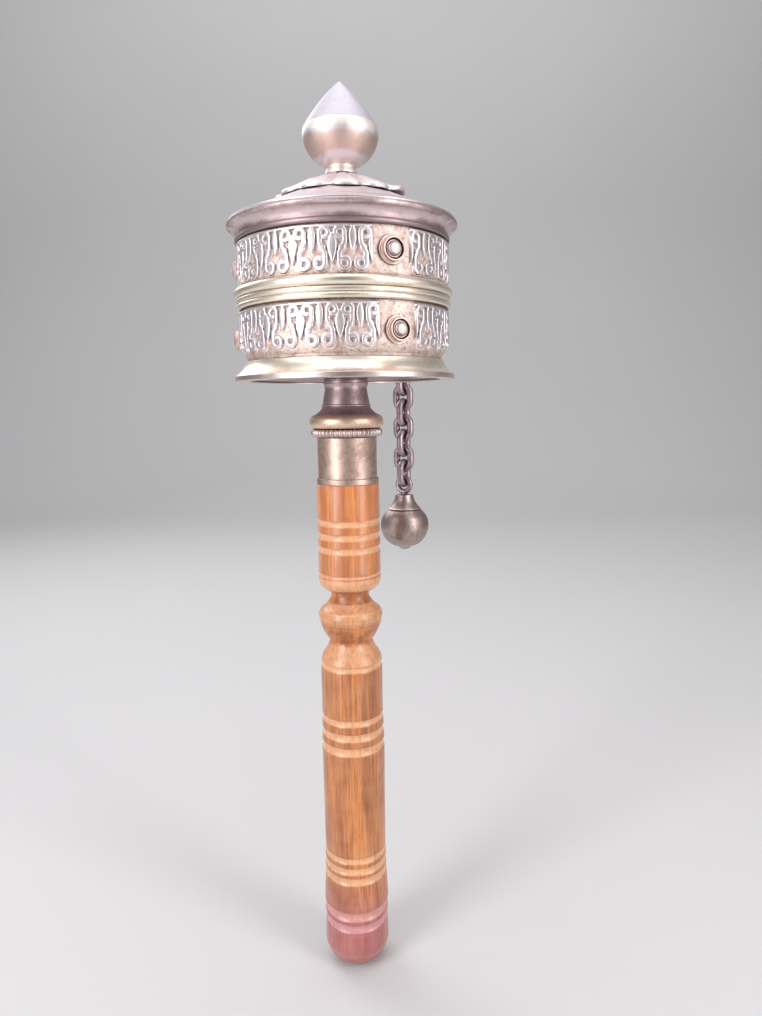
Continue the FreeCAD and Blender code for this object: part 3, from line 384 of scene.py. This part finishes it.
def outline_of(node, origin=(0, 0, 0), along=UP):
    """The outline of a turned CAD piece, as (radius, height) corners in order round the
    material, and whether it closes. A half plane from the axis cuts the mesh. Each place
    where it cuts is moved to the nearest vertex, because those lie on the true outline."""
    start, side, other, axis = axis_frame(origin, along)
    tilt, on_axis, near, apart = 0.011, 0.01 * MM, 0.35 * MM, 0.004 * MM
    across = side * math.cos(tilt) + other * math.sin(tilt)
    normal = axis.cross(across)
    mesh = NODES[node].data
    welded, ids = {}, []
    for vertex in mesh.vertices:
        key = tuple(round(level, 7) for level in vertex.co)
        ids.append(welded.setdefault(key, len(welded)))
    places = np.zeros((len(welded), 4))
    for key, number in welded.items():
        out = Vector(key) - start
        height = out.dot(axis)
        places[number] = out.dot(normal), out.dot(across), (out - axis * height).length, height
    profile = places[:, 2:]
    crossings, beside = {}, {}
    for polygon in mesh.polygons:
        loop = [ids[number] for number in polygon.vertices]
        cuts = []
        for a, b in zip(loop, loop[1:] + loop[:1]):
            if (places[a][0] >= 0) == (places[b][0] >= 0):
                continue
            edge = (min(a, b), max(a, b))
            first, second = places[edge[0]], places[edge[1]]
            share = first[0] / (first[0] - second[0])
            radius, height = (first[index] + (second[index] - first[index]) * share
                              for index in (1, 3))
            if radius > on_axis:
                crossings[edge] = (radius, height)
                cuts.append(edge)
        if len(cuts) == 2:
            beside.setdefault(cuts[0], []).append(cuts[1])
            beside.setdefault(cuts[1], []).append(cuts[0])
    ends = [edge for edge, others in beside.items() if len(others) == 1]
    here = (ends or list(beside))[0]
    order, seen = [here], {here}
    while True:
        onward = [edge for edge in beside[here] if edge not in seen]
        if not onward:
            break
        here = onward[0]
        order.append(here)
        seen.add(here)
    line = []
    for edge in order:
        gaps = np.hypot(*(profile - np.array(crossings[edge])).T)
        nearest = int(gaps.argmin())
        if gaps[nearest] < near and profile[nearest][0] > on_axis:
            corner = Vector(profile[nearest])
            if not line or (corner - line[-1]).length > apart:
                line.append(corner)
    if ends:
        line = [Vector((0.0, line[0].y)), *line, Vector((0.0, line[-1].y))]
    area = sum(a.x * b.y - b.x * a.y for a, b in zip(line, line[1:] + line[:1]))
    return thinned(line if area > 0 else line[::-1], not ends), not ends


def thinned(line, closed):
    """The outline with only the corners that its shape needs, to three microns."""
    if closed:
        far = max(range(len(line)), key=lambda number: (line[number] - line[0]).length)
        return thinned(line[:far + 1], False)[:-1] + thinned(line[far:] + line[:1], False)[:-1]
    if len(line) < 3:
        return line
    way = (line[-1] - line[0]).normalized()
    gaps = []
    for point in line[1:-1]:
        off = point - line[0]
        gaps.append((off - way * off.dot(way)).length)
    worst = max(range(len(gaps)), key=gaps.__getitem__)
    if gaps[worst] < 0.003 * MM:
        return [line[0], line[-1]]
    return thinned(line[:worst + 2], False)[:-1] + thinned(line[worst + 1:], False)


def refined(points, closed, bevel=0.12 * MM, step=1.2 * MM):
    """The outline with its sharp corners eased and its round stretches made smooth. A leg
    that is much longer than its neighbour is straight, so the curve starts along it."""
    sharp, round_turn, much_longer = math.radians(32), 0.02, 2.5
    count = len(points)

    def leg(number):
        return points[(number + 1) % count] - points[number % count]

    turns, tangents = [], []
    for number in range(count):
        before, after = leg(number - 1), leg(number)
        loose_end = not closed and number in (0, count - 1)
        turns.append(0.0 if loose_end else abs(before.angle(after)))
        if loose_end:
            tangents.append((after if number == 0 else before).normalized())
        elif before.length > much_longer * after.length:
            tangents.append(before.normalized())
        elif after.length > much_longer * before.length:
            tangents.append(after.normalized())
        else:
            tangents.append((before.normalized() + after.normalized()).normalized())
    result = []
    for number in range(count if closed else count - 1):
        following = (number + 1) % count
        start, finish = points[number], points[following]
        length = (finish - start).length
        heading = (finish - start).normalized()
        corner_here, corner_next = turns[number] > sharp, turns[following] > sharp
        leaving = heading if corner_here else tangents[number]
        arriving = heading if corner_next else tangents[following]
        cut = min(bevel / length, 0.3)
        guard = 1.6 * cut
        stops = [cut] if corner_here else [0.0]
        curved = turns[number] + turns[following] > round_turn
        pieces = max(math.ceil(length / step), 3 if curved else 1)
        last_stop = 1 - guard if corner_next else 0.999
        if corner_here and guard < 0.5:
            stops.append(guard)
        stops += [share / pieces for share in range(1, pieces)
                  if stops[-1] * 1.2 < share / pieces < last_stop]
        if corner_next:
            stops += [share for share in (last_stop, 1 - cut) if share > stops[-1] + 0.02]
        for share in stops:
            rise = 3 * share**2 - 2 * share**3
            result.append(start * (1 - rise) + finish * rise
                          + leaving * (length * (share**3 - 2 * share**2 + share))
                          + arriving * (length * (share**3 - share**2)))
        if corner_next:
            beyond = leg(following)
            corner_in = finish - heading * (cut * length)
            corner_out = finish + beyond.normalized() * min(bevel, 0.3 * beyond.length)
            for share in (0.3, 0.7):
                result.append(corner_in * (1 - share)**2 + finish * (2 * share * (1 - share))
                              + corner_out * share**2)
    if not closed:
        result.append(points[-1])
    return result


def spun(line, closed, segments, origin=(0, 0, 0), along=UP, wobble=0.0, seed=0.0):
    """Points and faces of an outline turned about an axis, with a slight handmade wobble."""
    start, side, other, axis = axis_frame(origin, along)
    points, rings = [], []
    for radius, height in line:
        if radius < 0.001 * MM:
            rings.append([len(points)])
            points.append(start + axis * height)
            continue
        rings.append(next_ring(points, segments))
        for number in range(segments):
            angle = TURN * number / segments
            drift = 0.0
            if wobble:
                drift = wobble * noise.noise(Vector((
                    2.2 * math.cos(angle) + seed, 2.2 * math.sin(angle), height / (5 * MM))))
            out = side * math.cos(angle) + other * math.sin(angle)
            points.append(start + out * (radius + drift) + axis * height)
    return points, skin(rings, segments, closed)


def next_ring(points, segments):
    """The numbers that the next ring's points will have."""
    return list(range(len(points), len(points) + segments))


def skin(rings, segments, closed=True, flipped=False):
    """The faces between each ring of points and the next. A ring may be one point on the axis."""
    faces = []
    for low, high in zip(rings, rings[1:] + (rings[:1] if closed else [])):
        for number in range(segments):
            onward = (number + 1) % segments
            if len(low) == 1 and len(high) == 1:
                continue
            if len(low) == 1:
                face = low[0], high[onward], high[number]
            elif len(high) == 1:
                face = low[number], low[onward], high[0]
            else:
                face = low[number], low[onward], high[onward], high[number]
            faces.append(face[::-1] if flipped else face)
    return faces


def turned(node, look, body, segments=160, bevel=0.12 * MM, step=1.2 * MM,
           origin=(0, 0, 0), along=UP, wobble=0.0):
    """A smooth turned piece in place of a CAD one, with eased edges."""
    outline, closed = outline_of(node, origin, along)
    line = refined(outline, closed, bevel, step)
    points, faces = spun(line, closed, segments, origin, along, wobble, seed=len(node))
    return new_piece(node + "_look", points, faces, look, body, [node])


def turned_set(body, rows):
    """Turned pieces of one body. A row is the node, look, slot and segments, then the bevel, step
    and wobble in millimetres. The slot is not used."""
    for node, look, slot, segments, bevel, step, wobble in rows:
        turned(node, look, body, segments, bevel * MM, step * MM, wobble=wobble * MM)


# ---- handle

def make_handle():
    """The stick, with how much painted highlight its coves and pale bands get, held in a point
    attribute.
    """
    grip = turned("handle_grip", "turned_wood", "handle", 192, 0.18 * MM, 0.6 * MM,
                  wobble=0.05 * MM)
    points = np.empty(3 * len(grip.data.vertices))
    grip.data.vertices.foreach_get("co", points)
    across, along, heights = points.reshape(-1, 3).T
    radii = np.hypot(across, along)
    stick_top, pace, reach = 158 * MM, 0.25 * MM, 7
    levels = np.arange(0, stick_top, pace)
    outer = np.array([radii[np.abs(heights - level) < 0.4 * MM].max(initial=0) for level in levels])
    below = np.array([outer[max(0, n - reach):n + 1].max() for n in range(len(levels))])
    above = np.array([outer[n:n + reach + 1].max() for n in range(len(levels))])
    crest = np.minimum(below, above)
    depth = np.interp(heights, levels, crest) - radii
    # Coves get a painted highlight: pale where the surface dips below the crests around it, less on
    # steep slopes.
    painted_highlight = np.clip(depth / (0.25 * MM), 0, 1) * np.clip((0.9 * MM - depth) / (0.3 * MM), 0, 1)
    slope = np.interp(heights, levels, np.abs(above - below))
    painted_highlight *= np.clip((0.5 * MM - slope) / (0.25 * MM), 0, 1)
    for foot, top, share in HIGHLIT_BANDS:
        inside = np.clip(np.minimum(heights - foot, top - heights) / (0.35 * MM), 0, 1)
        painted_highlight = np.maximum(painted_highlight, share * inside)
    grip.data.attributes.new("highlight_share", "FLOAT", "POINT").data.foreach_set("value", painted_highlight)
    turned_set("handle", [
        ("ferrule_tube", "ferrule_silver", "ferrule_silver", 160, 0.15, 1.0, 0.05),
        ("ferrule_collar", "collar_brass", "pale_brass", 160, 0.12, 1.2, 0.03),
        ("neck_cup", "neck_silver", "ferrule_silver", 160, 0.12, 1.2, 0.03),
        ("thrust_washer", "neck_silver", "ferrule_silver", 96, 0.12, 1.2, 0)])
    make_bead_ring()
    make_spindle()


def make_bead_ring():
    """The ring of small beads under the collar: a band with beads round it."""
    low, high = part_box("ferrule_bead_ring")
    middle = (low.z + high.z) / 2
    half = (high.z - low.z) / 2
    inner, waist, bulge = high.x - 2.0 * MM, high.x - 1.15 * MM, 1.13 * MM
    count, rows = 46, 12
    segments = count * 8
    points, rings = [], []
    for height in (high.z, low.z):
        rings.append(next_ring(points, segments))
        points += [at(inner, TURN * number / segments, height) for number in range(segments)]
    for row in range(rows + 1):
        lift = -1 + 2 * row / rows
        belly = math.sqrt(max(0.0, 1 - lift**2))
        rings.append(next_ring(points, segments))
        for number in range(segments):
            angle = TURN * number / segments
            phase = (angle * count / TURN) % 1.0 - 0.5
            swell = math.sqrt(max(0.0, 1 - (2 * phase)**2 * 0.92))
            points.append(at(waist + bulge * belly * (0.40 + 0.60 * swell), angle,
                             middle + lift * (half * (0.62 + 0.38 * swell))))
    new_piece("ferrule_bead_ring_look", points, skin(rings, segments), "bead_silver", "handle",
              ["ferrule_bead_ring"])


def make_spindle():
    """The rod, with a real thread cut at its top."""
    outline, _ = outline_of("spindle")
    top = max(corner[1] for corner in outline)
    core = min(corner[0] for corner in outline if corner[0] > 1 * MM)
    shoulder = min(corner[1] for corner in outline if abs(corner[0] - core) < 0.02 * MM)
    foot = min(corner[1] for corner in outline)
    rod = max(corner[0] for corner in outline)
    pitch, depth, segments, bevel = 0.8 * MM, 0.22 * MM, 48, 0.1 * MM
    levels = [(rod - bevel, foot), (rod, foot + bevel)]
    levels += [(rod, foot + (shoulder - foot) * share / 12) for share in range(1, 12)]
    levels += [(rod, shoulder - bevel), (rod - bevel, shoulder)]
    points, rings = [(0, 0, foot)], [[0]]
    for radius, height in levels:
        rings.append(next_ring(points, segments))
        points += [at(radius, TURN * n / segments, height) for n in range(segments)]
    rows = int((top - shoulder) / (pitch / 10))
    for row in range(rows + 1):
        height = shoulder + (top - shoulder) * row / rows
        ease = min(1.0, (top - height) / (0.5 * MM), (height - shoulder) / (0.4 * MM))
        rings.append(next_ring(points, segments))
        for n in range(segments):
            phase = (height / pitch - n / segments) % 1.0
            groove = depth * abs(2 * phase - 1) * max(ease, 0.0)
            radius = core - 0.01 * MM - groove - 0.25 * MM * (1 - max(ease, 0.0))
            points.append(at(radius, TURN * n / segments, height))
    rings.append([len(points)])
    points.append((0, 0, top))
    new_piece("spindle_look", points, skin(rings, segments, closed=False), "steel_rod", "handle",
              ["spindle"])


make_handle()


# ---- drum

turned_set("drum", [
    ("drum_wall", "aged_copper", "aged_copper", 256, 0.10, 0.8, 0.10),
    ("base_ring", "pale_brass", "pale_brass", 256, 0.16, 0.8, 0.12),
    ("middle_band", "pale_brass", "pale_brass", 256, 0.10, 0.8, 0.08),
    # The base plate takes the darker silver as painted shade for the drum's underside.
    ("base_plate", "dark_silver", "aged_copper", 160, 0.15, 2, 0),
    ("lower_bushing", "neck_silver", "bush_brass", 96, 0.12, 1.2, 0)])


# ---- friezes

def stroke_distance(across, up, path, width):
    """Signed distance from a grid of points to a stroke along a path, negative inside."""
    nearest = np.full(across.shape, 1.0)
    for (x0, y0), (x1, y1) in zip(path, path[1:]):
        dx, dy = x1 - x0, y1 - y0
        share = np.clip(((across - x0) * dx + (up - y0) * dy) / (dx * dx + dy * dy), 0, 1)
        nearest = np.minimum(nearest, np.hypot(across - x0 - dx * share, up - y0 - dy * share))
    return nearest - width / 2


def leaf_distance(across, up, middle, top, length, half_width):
    """Signed distance, near enough, to a pointed leaf that hangs from its top."""
    share = np.clip((top - up) / length, 0, 1)
    half = half_width * np.sin(np.pi * share**0.8)**0.9
    beyond = np.maximum(up - top, top - length - up)
    return np.maximum(np.abs(across - middle) - half, beyond)


def curl(middle, height, radius, begin, sweep, shrink):
    """A volute: a spiral that starts on a circle and winds inwards."""
    steps = 26
    path = []
    for number in range(steps + 1):
        share = number / steps
        angle = begin + sweep * share
        reach = radius * (1 - shrink * share)
        path.append((middle + reach * math.cos(angle), height + reach * math.sin(angle)))
    return path


def cell_distance(across, up, height, side):
    """Signed distance to one cell of the ornament: a rail, two lyre scrolls, a leaf between
    them and half a drop at each side. Nought is the middle of the cell's foot."""
    rail = height - 0.9 * MM
    upper, lower = 1.15 * MM, 1.25 * MM
    upper_side, lower_side = 3.0 * MM, 1.9 * MM
    stroke, knot_radius, sway, shrink = 1.42 * MM, 0.95 * MM, 0.05 * MM, 0.16
    leaf, drop = (6.6 * MM, 1.05 * MM), (7.5 * MM, 1.25 * MM)
    upper_height, lower_height = rail - upper, lower + stroke / 2
    away = np.abs(across)
    stem_top = (upper_side - upper, upper_height)
    stem_foot = (lower_side + lower, lower_height)
    bend = [(stem_top[0] + sway, (stem_top[1] * 2 + stem_foot[1]) / 3),
            (stem_foot[0] - sway, (stem_top[1] + stem_foot[1] * 2) / 3)]
    top_curl = curl(upper_side, upper_height, upper, math.pi, -1.55 * math.pi, shrink)
    low_curl = curl(lower_side, lower_height, lower, 0.0, -1.60 * math.pi, shrink)
    return np.minimum.reduce([
        rail - up,
        leaf_distance(across, up, 0.0, rail + stroke / 2, *leaf),
        leaf_distance(away, up, side, upper_height + 0.3 * MM, *drop),
        stroke_distance(away, up, [stem_top, *bend, stem_foot], stroke),
        stroke_distance(away, up, top_curl, 0.94 * stroke),
        stroke_distance(away, up, low_curl, 0.94 * stroke),
        np.hypot(away - (stem_top[0] + stem_foot[0]) / 2,
                 up - (stem_top[1] + stem_foot[1]) / 2) - knot_radius])


def tucked(radius, height):
    """The radius of a surface outside the wall, drawn in where the wall's foot is."""
    tuck_top, curve = 183.5 * MM, 8.74 * MM
    if height >= tuck_top:
        return radius
    centre = WALL_RADIUS - curve
    return centre + math.sqrt((radius - centre)**2 - (tuck_top - height)**2)


def joined(kept):
    """The kept cells, with one more wherever two of them would meet only at a corner."""
    kept = kept.copy()
    while True:
        low_left, low_right = kept[:-1, :-1], kept[:-1, 1:]
        high_left, high_right = kept[1:, :-1], kept[1:, 1:]
        rising = low_left & high_right & ~low_right & ~high_left
        falling = low_right & high_left & ~low_left & ~high_right
        if not (rising.any() or falling.any()):
            return kept
        low_right |= rising
        low_left |= falling


def make_frieze(register, number, angle):
    """A strip of applied relief: flat plate with rounded shoulders, closed at the back."""
    node = f"{register}_frieze_{number}"
    low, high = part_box(node)
    relief, sunk, shoulder, crown_reach = 0.84 * MM, 0.30 * MM, 0.28 * MM, 0.75 * MM
    cells, cell_angle = 5, math.radians(19.9)
    height = high.z - low.z
    half_cell = WALL_RADIUS * cell_angle / 2
    pace, sparse = 0.13 * MM, 4
    columns = int(cells * 2 * half_cell / pace)
    rows = int(height / pace)
    span = np.linspace(-cells * half_cell, cells * half_cell, columns + 1)
    rise = np.linspace(0, height, rows + 1)
    along, up = np.meshgrid(span, rise)
    in_cell = (along + half_cell) % (2 * half_cell) - half_cell
    drift = np.array([[noise.noise(Vector((a / (3.1 * MM) + number * 7, b / (3.1 * MM), low.z * 50)))
                       for a in span[::sparse]] for b in rise[::sparse]])
    rough = np.kron(drift, np.ones((sparse, sparse)))[:rows + 1, :columns + 1]
    distance = cell_distance(in_cell + rough * 0.10 * MM, up + rough * 0.10 * MM, height, half_cell)
    edge = np.minimum(np.minimum(up, height - up), np.minimum(
        along - span[0], span[-1] - along)) - 0.02 * MM
    distance = np.maximum(distance, -edge)
    depth = np.clip(-distance / shoulder, -0.6, 1)
    profile = np.where(depth > 0, np.sin(np.pi / 2 * np.clip(depth, 0, 1))**0.7, depth)
    crown = np.clip(-distance / crown_reach, 0, 1)
    lift = relief * (0.88 * profile + 0.10 * crown) + rough * 0.025 * MM * (depth > 0)
    lift = np.minimum(lift, relief)
    keep = distance < 0.20 * MM
    cell_kept = joined(keep[:-1, :-1] | keep[1:, :-1] | keep[:-1, 1:] | keep[1:, 1:])
    index = {}
    points, faces = [], []

    def point(row, column, back):
        key = (row, column, back)
        if key not in index:
            level = low.z + rise[row]
            out = WALL_RADIUS - sunk if back else WALL_RADIUS + lift[row, column]
            index[key] = len(points)
            points.append(at(tucked(out, level), angle + span[column] / WALL_RADIUS, level))
        return index[key]

    for row, column in zip(*np.nonzero(cell_kept)):
        corners = [(row, column), (row, column + 1), (row + 1, column + 1), (row + 1, column)]
        faces.append([point(*corner, False) for corner in corners])
        faces.append([point(*corner, True) for corner in reversed(corners)])
        for (a, b), (r, c) in zip(zip(corners, corners[1:] + corners[:1]),
                                  ((-1, 0), (0, 1), (1, 0), (0, -1))):
            near_row, near_column = row + r, column + c
            inside = (0 <= near_row < rows and 0 <= near_column < columns
                      and cell_kept[near_row, near_column])
            if not inside:
                faces.append([point(*b, False), point(*a, False), point(*a, True), point(*b, True)])
    new_piece(node + "_look", points, faces, "relief_silver", "drum", [node])


def make_studs():
    """Turned settings with a twisted wire round each, and domed stones held by a milled lip."""
    seat_millimetres = 27.67
    for register in REGISTERS:
        for number in range(1, REGISTER_COUNT + 1):
            bezel, stone = f"{register}_bezel_{number}", f"{register}_stone_{number}"
            low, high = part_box(bezel)
            middle = (low + high) / 2
            out = Vector((middle.x, middle.y, 0)).normalized()
            seat = Vector((0, 0, middle.z)) + out * seat_millimetres * MM
            turned(bezel, "bezel_silver", "drum", 96, 0.08 * MM, 0.3 * MM,
                   seat, out)
            turned(stone, "white_stone", "drum", 64, 0.05 * MM, 0.15 * MM,
                   seat, out)
            make_rope(f"{bezel}_rope", seat, out)
            make_stone_lip(f"{bezel}_lip", seat, out)


def make_stone_lip(name, seat, out):
    """The edge of a setting, pressed over its stone and notched all round. The outline is
    in millimetres."""
    outline = [(1.16, 1.45), (1.82, 1.45), (1.82, 1.68), (1.64, 2.00), (1.38, 2.28), (1.20, 2.36),
               (1.10, 2.27)]
    line = [Vector(corner) * MM for corner in outline]
    notches, notch_steps, notch_depth = 26, 5, 0.09
    notch_radius, notch_foot = 1.25 * MM, 1.5 * MM
    segments = notches * notch_steps
    points, faces = spun(line, True, segments, seat, out)
    start, _, _, axis = axis_frame(seat, out)
    for number, point in enumerate(points):
        row, step = divmod(number, segments)
        reached = line[row].x > notch_radius and line[row].y > notch_foot
        if step % notch_steps == 0 and reached:
            spoke = point - start - axis * line[row].y
            points[number] = point - spoke.normalized() * notch_depth * MM
    new_piece(name, points, faces, "dark_silver", "drum")


def make_rope(name, seat, out):
    """Two wires twisted into a cord and bent into a ring, laid in a setting's groove."""
    start, side, other, axis = axis_frame(seat, out)
    radius, lift, wire, twists = 2.88 * MM, 0.70 * MM, 0.13 * MM, 30
    around, steps = 8, twists * 10
    for strand in range(2):
        points = []
        for step in range(steps):
            angle = TURN * step / steps
            lay = angle * twists / 2 + strand * math.pi
            centre_r = radius + 0.85 * wire * math.cos(lay)
            centre_h = lift + 0.85 * wire * math.sin(lay)
            radial = side * math.cos(angle) + other * math.sin(angle)
            for spoke in range(around):
                spin = TURN * spoke / around
                points.append(start + radial * (centre_r + wire * math.cos(spin))
                              + axis * (centre_h + wire * math.sin(spin)))
        faces = []
        for step in range(steps):
            onward = (step + 1) % steps
            for spoke in range(around):
                beside = (spoke + 1) % around
                faces.append((step * around + spoke, onward * around + spoke,
                              onward * around + beside, step * around + beside))
        new_piece(f"{name}_{strand + 1}", points, faces, "bezel_silver", "drum")


STUD_ANGLES = {"upper": -62.5, "lower": -59.5}
for register in REGISTERS:
    for number in range(1, REGISTER_COUNT + 1):
        middle_angle = STUD_ANGLES[register] + 360 / REGISTER_COUNT * (number - 0.5)
        make_frieze(register, number, math.radians(middle_angle))
make_studs()


# ---- lid and finial

def make_petals():
    """A plate of twelve petals that lies on the roof: each is domed, creased down its middle
    and stands off the roof at its tip."""
    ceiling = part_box("petal_collar")[1].z
    inner, tip, notch_depth = 4.6 * MM, 17.65 * MM, 2.1 * MM
    count, notch, loose_petal = 12, math.radians(-97.8), 2
    segments, rows = count * 36, 48
    roof_radii, roof_levels = (4.4, 17.5), (226.32, 219.84)

    def middle_of(angle):
        """0 in the middle of a petal and 1 in the notch between two."""
        return abs(2 * (((angle - notch) * count / TURN) % 1.0) - 1)

    def edge(angle):
        return tip - notch_depth * middle_of(angle)**2.8

    def roof(radius):
        slope = (roof_levels[0] - roof_levels[1]) / (roof_radii[1] - roof_radii[0])
        return roof_levels[0] * MM - (radius - roof_radii[0] * MM) * slope

    def lift(share, beside, number):
        """How far a petal stands off the roof: one at the side is bent up the most."""
        bent = 1.5 if number == loose_petal else 0.40 + 0.15 * math.sin(2.3 * number)
        return bent * MM * max(0.0, (share - 0.55) / 0.45)**1.7 * (1 - beside**2)

    def thickness(share, beside):
        dome = (1 - beside**2.6) * min(1.0, 0.3 + share * 1.6)
        crease = 0.16 * math.exp(-(beside / 0.10)**2) * min(1.0, share * 2)
        vein = 0.07 * math.exp(-((beside - 0.45) / 0.08)**2) * min(1.0, share * 2)
        rim = 0.18 * math.exp(-((1 - share) / 0.07)**2) * (1 - beside**4)
        thin = 1 - 0.30 * max(0.0, (share - 0.5) / 0.5)**1.5
        return ((0.40 + 1.05 * dome) * thin - crease - vein + rim) * MM

    points, rings = [], []
    for side in (1, 0):
        for row in (range(rows + 1) if side else range(rows, -1, -1)):
            share = (row / rows)**0.8
            rings.append(next_ring(points, segments))
            for step in range(segments):
                angle = TURN * step / segments
                beside = middle_of(angle)
                number = int(((angle - notch) * count / TURN) % count)
                radius = inner + (edge(angle) - inner) * share
                level = roof(radius) - 0.02 * MM + lift(share, beside, number)
                if side:
                    level += thickness(share, beside) * (0.65 if row == rows else 1)
                points.append(at(radius, angle, min(level, ceiling)))
    new_piece("petal_collar_look", points, skin(rings, segments, flipped=True), "petal_silver",
              "lid", ["petal_collar"])


turned_set("lid", [
    ("cap_cornice", "cornice_silver", "cornice_silver", 256, 0.08, 0.6, 0.10),
    ("cap_roof", "roof_silver", "roof_silver", 256, 0.10, 0.8, 0.08),
    ("upper_bushing", "bush_brass", "bush_brass", 96, 0.12, 1.2, 0)])
make_petals()
turned_set("finial", [
    ("finial_bulb", "bud_silver", "finial_silver", 160, 0.10, 0.5, 0.05),
    ("finial_cone", "cone_silver", "finial_silver", 160, 0.12, 0.5, 0.04),
    ("finial_nut", "steel_rod", "steel_rod", 64, 0.12, 1.2, 0)])


# ---- contents

def make_scroll():
    """Paper wound on a core: its top shows the turns of the sheet."""
    low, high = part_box("prayer_scroll")
    outline, _ = outline_of("prayer_scroll")
    inner = min(corner[0] for corner in outline)
    outer = max(corner[0] for corner in outline)
    turns, segments, rows, groove_depth = 30, 240, 240, 0.45 * MM
    points, rings = [], []
    for side in (1, 0):
        for row in (range(rows + 1) if side else (rows, 0)):
            radius = inner + (outer - inner) * row / rows
            rings.append(next_ring(points, segments))
            for number in range(segments):
                angle = TURN * number / segments
                winding = (turns * row / rows - number / segments) % 1.0
                groove = groove_depth * abs(2 * winding - 1)**3
                sway = noise.noise(Vector((radius / (4 * MM), math.cos(angle), math.sin(angle))))
                level = high.z - groove - 0.25 * MM * (1 + sway) if side else low.z
                points.append(at(radius, angle, level))
    new_piece("prayer_scroll_look", points, skin(rings, segments, flipped=True), "scroll_paper",
              "drum", ["prayer_scroll"])


make_scroll()
turned_set("drum", [
    ("scroll_core", "scroll_paper", "scroll_paper", 96, 0.12, 1.2, 0),
    ("scroll_wrap", "scroll_cloth", "scroll_cloth", 160, 0.1, 1.5, 0),
    ("scroll_ribbon", "scroll_cloth", "scroll_cloth", 160, 0.08, 0.8, 0)])


# ---- chain and weight

def make_chain():
    """The CAD links, staple and eye keep their shape. The weight is turned again, finer."""
    links = [node for node in NODES if node.startswith("chain_link_")]
    for node in links + ["chain_staple", "weight_eye"]:
        NODES[node].data.materials[0] = LOOKS["chain_metal"]
    NODES["staple_plate"].data.materials[0] = LOOKS["bezel_silver"]
    low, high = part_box("weight_bead")
    hang = ((low.x + high.x) / 2, (low.y + high.y) / 2, 0)
    for node in ("weight_bead", "weight_cap", "weight_button"):
        turned(node, "weight_metal", "weight", 112, 0.10 * MM, 0.5 * MM, hang,
               wobble=0.06 * MM)


make_chain()


# ---- stage, lights and camera

def make_stage():
    """A pale floor that curves up into a backdrop."""
    wide, near, far, tall, bend, steps = 7.0, -4.0, 1.5, 2.6, 0.6, 12
    line = [(near, 0.0), (far - bend, 0.0)]
    for number in range(1, steps + 1):
        angle = math.pi / 2 * number / steps
        line.append((far - bend + bend * math.sin(angle), bend - bend * math.cos(angle)))
    line.append((far, tall))
    points = [(side * wide, y, z) for y, z in line for side in (-1, 1)]
    faces = [(2 * n, 2 * n + 1, 2 * n + 3, 2 * n + 2) for n in range(len(line) - 1)]
    sweep = linked("stage_sweep", points, faces, stage_paper())
    sweep.data.polygons.foreach_set("use_smooth", [True] * len(faces))


def softbox(name, place, aim, width, tall, power, colour=(1, 1, 1)):
    """A lit rectangle that faces its aim."""
    light = bpy.data.lights.new(name, "AREA")
    light.shape = "RECTANGLE"
    light.size, light.size_y = width, tall
    light.energy = power
    light.color = colour
    lamp = bpy.data.objects.new(name, light)
    bpy.context.scene.collection.objects.link(lamp)
    lamp.location = place
    lamp.rotation_euler = (Vector(aim) - Vector(place)).to_track_quat("-Z", "Y").to_euler()


def make_lights():
    """Tall boxes at both sides, one above, one behind, and one for the backdrop."""
    drum = (0, 0, 0.19)
    softbox("left_box", (-0.42, -0.42, 0.30), drum, 0.22, 0.75, 3.9, (1.0, 0.97, 0.98))
    softbox("right_box", (0.48, -0.36, 0.26), drum, 0.20, 0.75, 3.1, (1.0, 0.96, 0.95))
    softbox("top_box", (0.02, -0.10, 0.75), drum, 0.55, 0.55, 1.6, (0.98, 0.97, 1.0))
    softbox("back_box", (-0.40, 0.50, 0.62), drum, 0.5, 0.4, 2.0)
    softbox("backdrop_box", (0, 0.55, 1.60), (0, 1.5, 0.5), 1.6, 0.5, 10.0)
    world = bpy.data.worlds.new("studio")
    world.use_nodes = True
    background = world.node_tree.nodes["Background"]
    background.inputs["Color"].default_value = (0.78, 0.78, 0.80, 1)
    background.inputs["Strength"].default_value = 0.45
    bpy.context.scene.world = world


def make_dark_card():
    """A dark card behind the camera, which the polished metal shows as its dark middle."""
    wide, tall, depth, middle = 0.13, 0.42, -0.62, 0.20
    points = [(-wide, depth, middle - tall), (wide, depth, middle - tall),
              (wide, depth, middle + tall), (-wide, depth, middle + tall)]
    black = Paint("card_black", Base_Color=(0.03, 0.022, 0.02, 1)).material
    card = linked("dark_card", points, [(0, 1, 2, 3)], black)
    card.visible_camera = False


def make_camera():
    """The view of the hand prayer wheel from just under its drum, with a wide lens."""
    data = bpy.data.cameras.new("camera")
    data.sensor_width = 36.0
    data.sensor_fit = "VERTICAL"
    data.sensor_height = 36.0
    data.lens = 26.575
    camera = bpy.data.objects.new("camera", data)
    bpy.context.scene.collection.objects.link(camera)
    pitch, roll = math.radians(90 - 7.8), math.radians(-0.9)
    turn = Matrix.Rotation(pitch, 4, "X") @ Matrix.Rotation(roll, 4, "Z")
    camera.matrix_world = Matrix.Translation((0.0092, -0.210, 0.1665)) @ turn
    bpy.context.scene.camera = camera
    bpy.context.scene.view_settings.view_transform = "Standard"


make_stage()
make_lights()
make_dark_card()
make_camera()
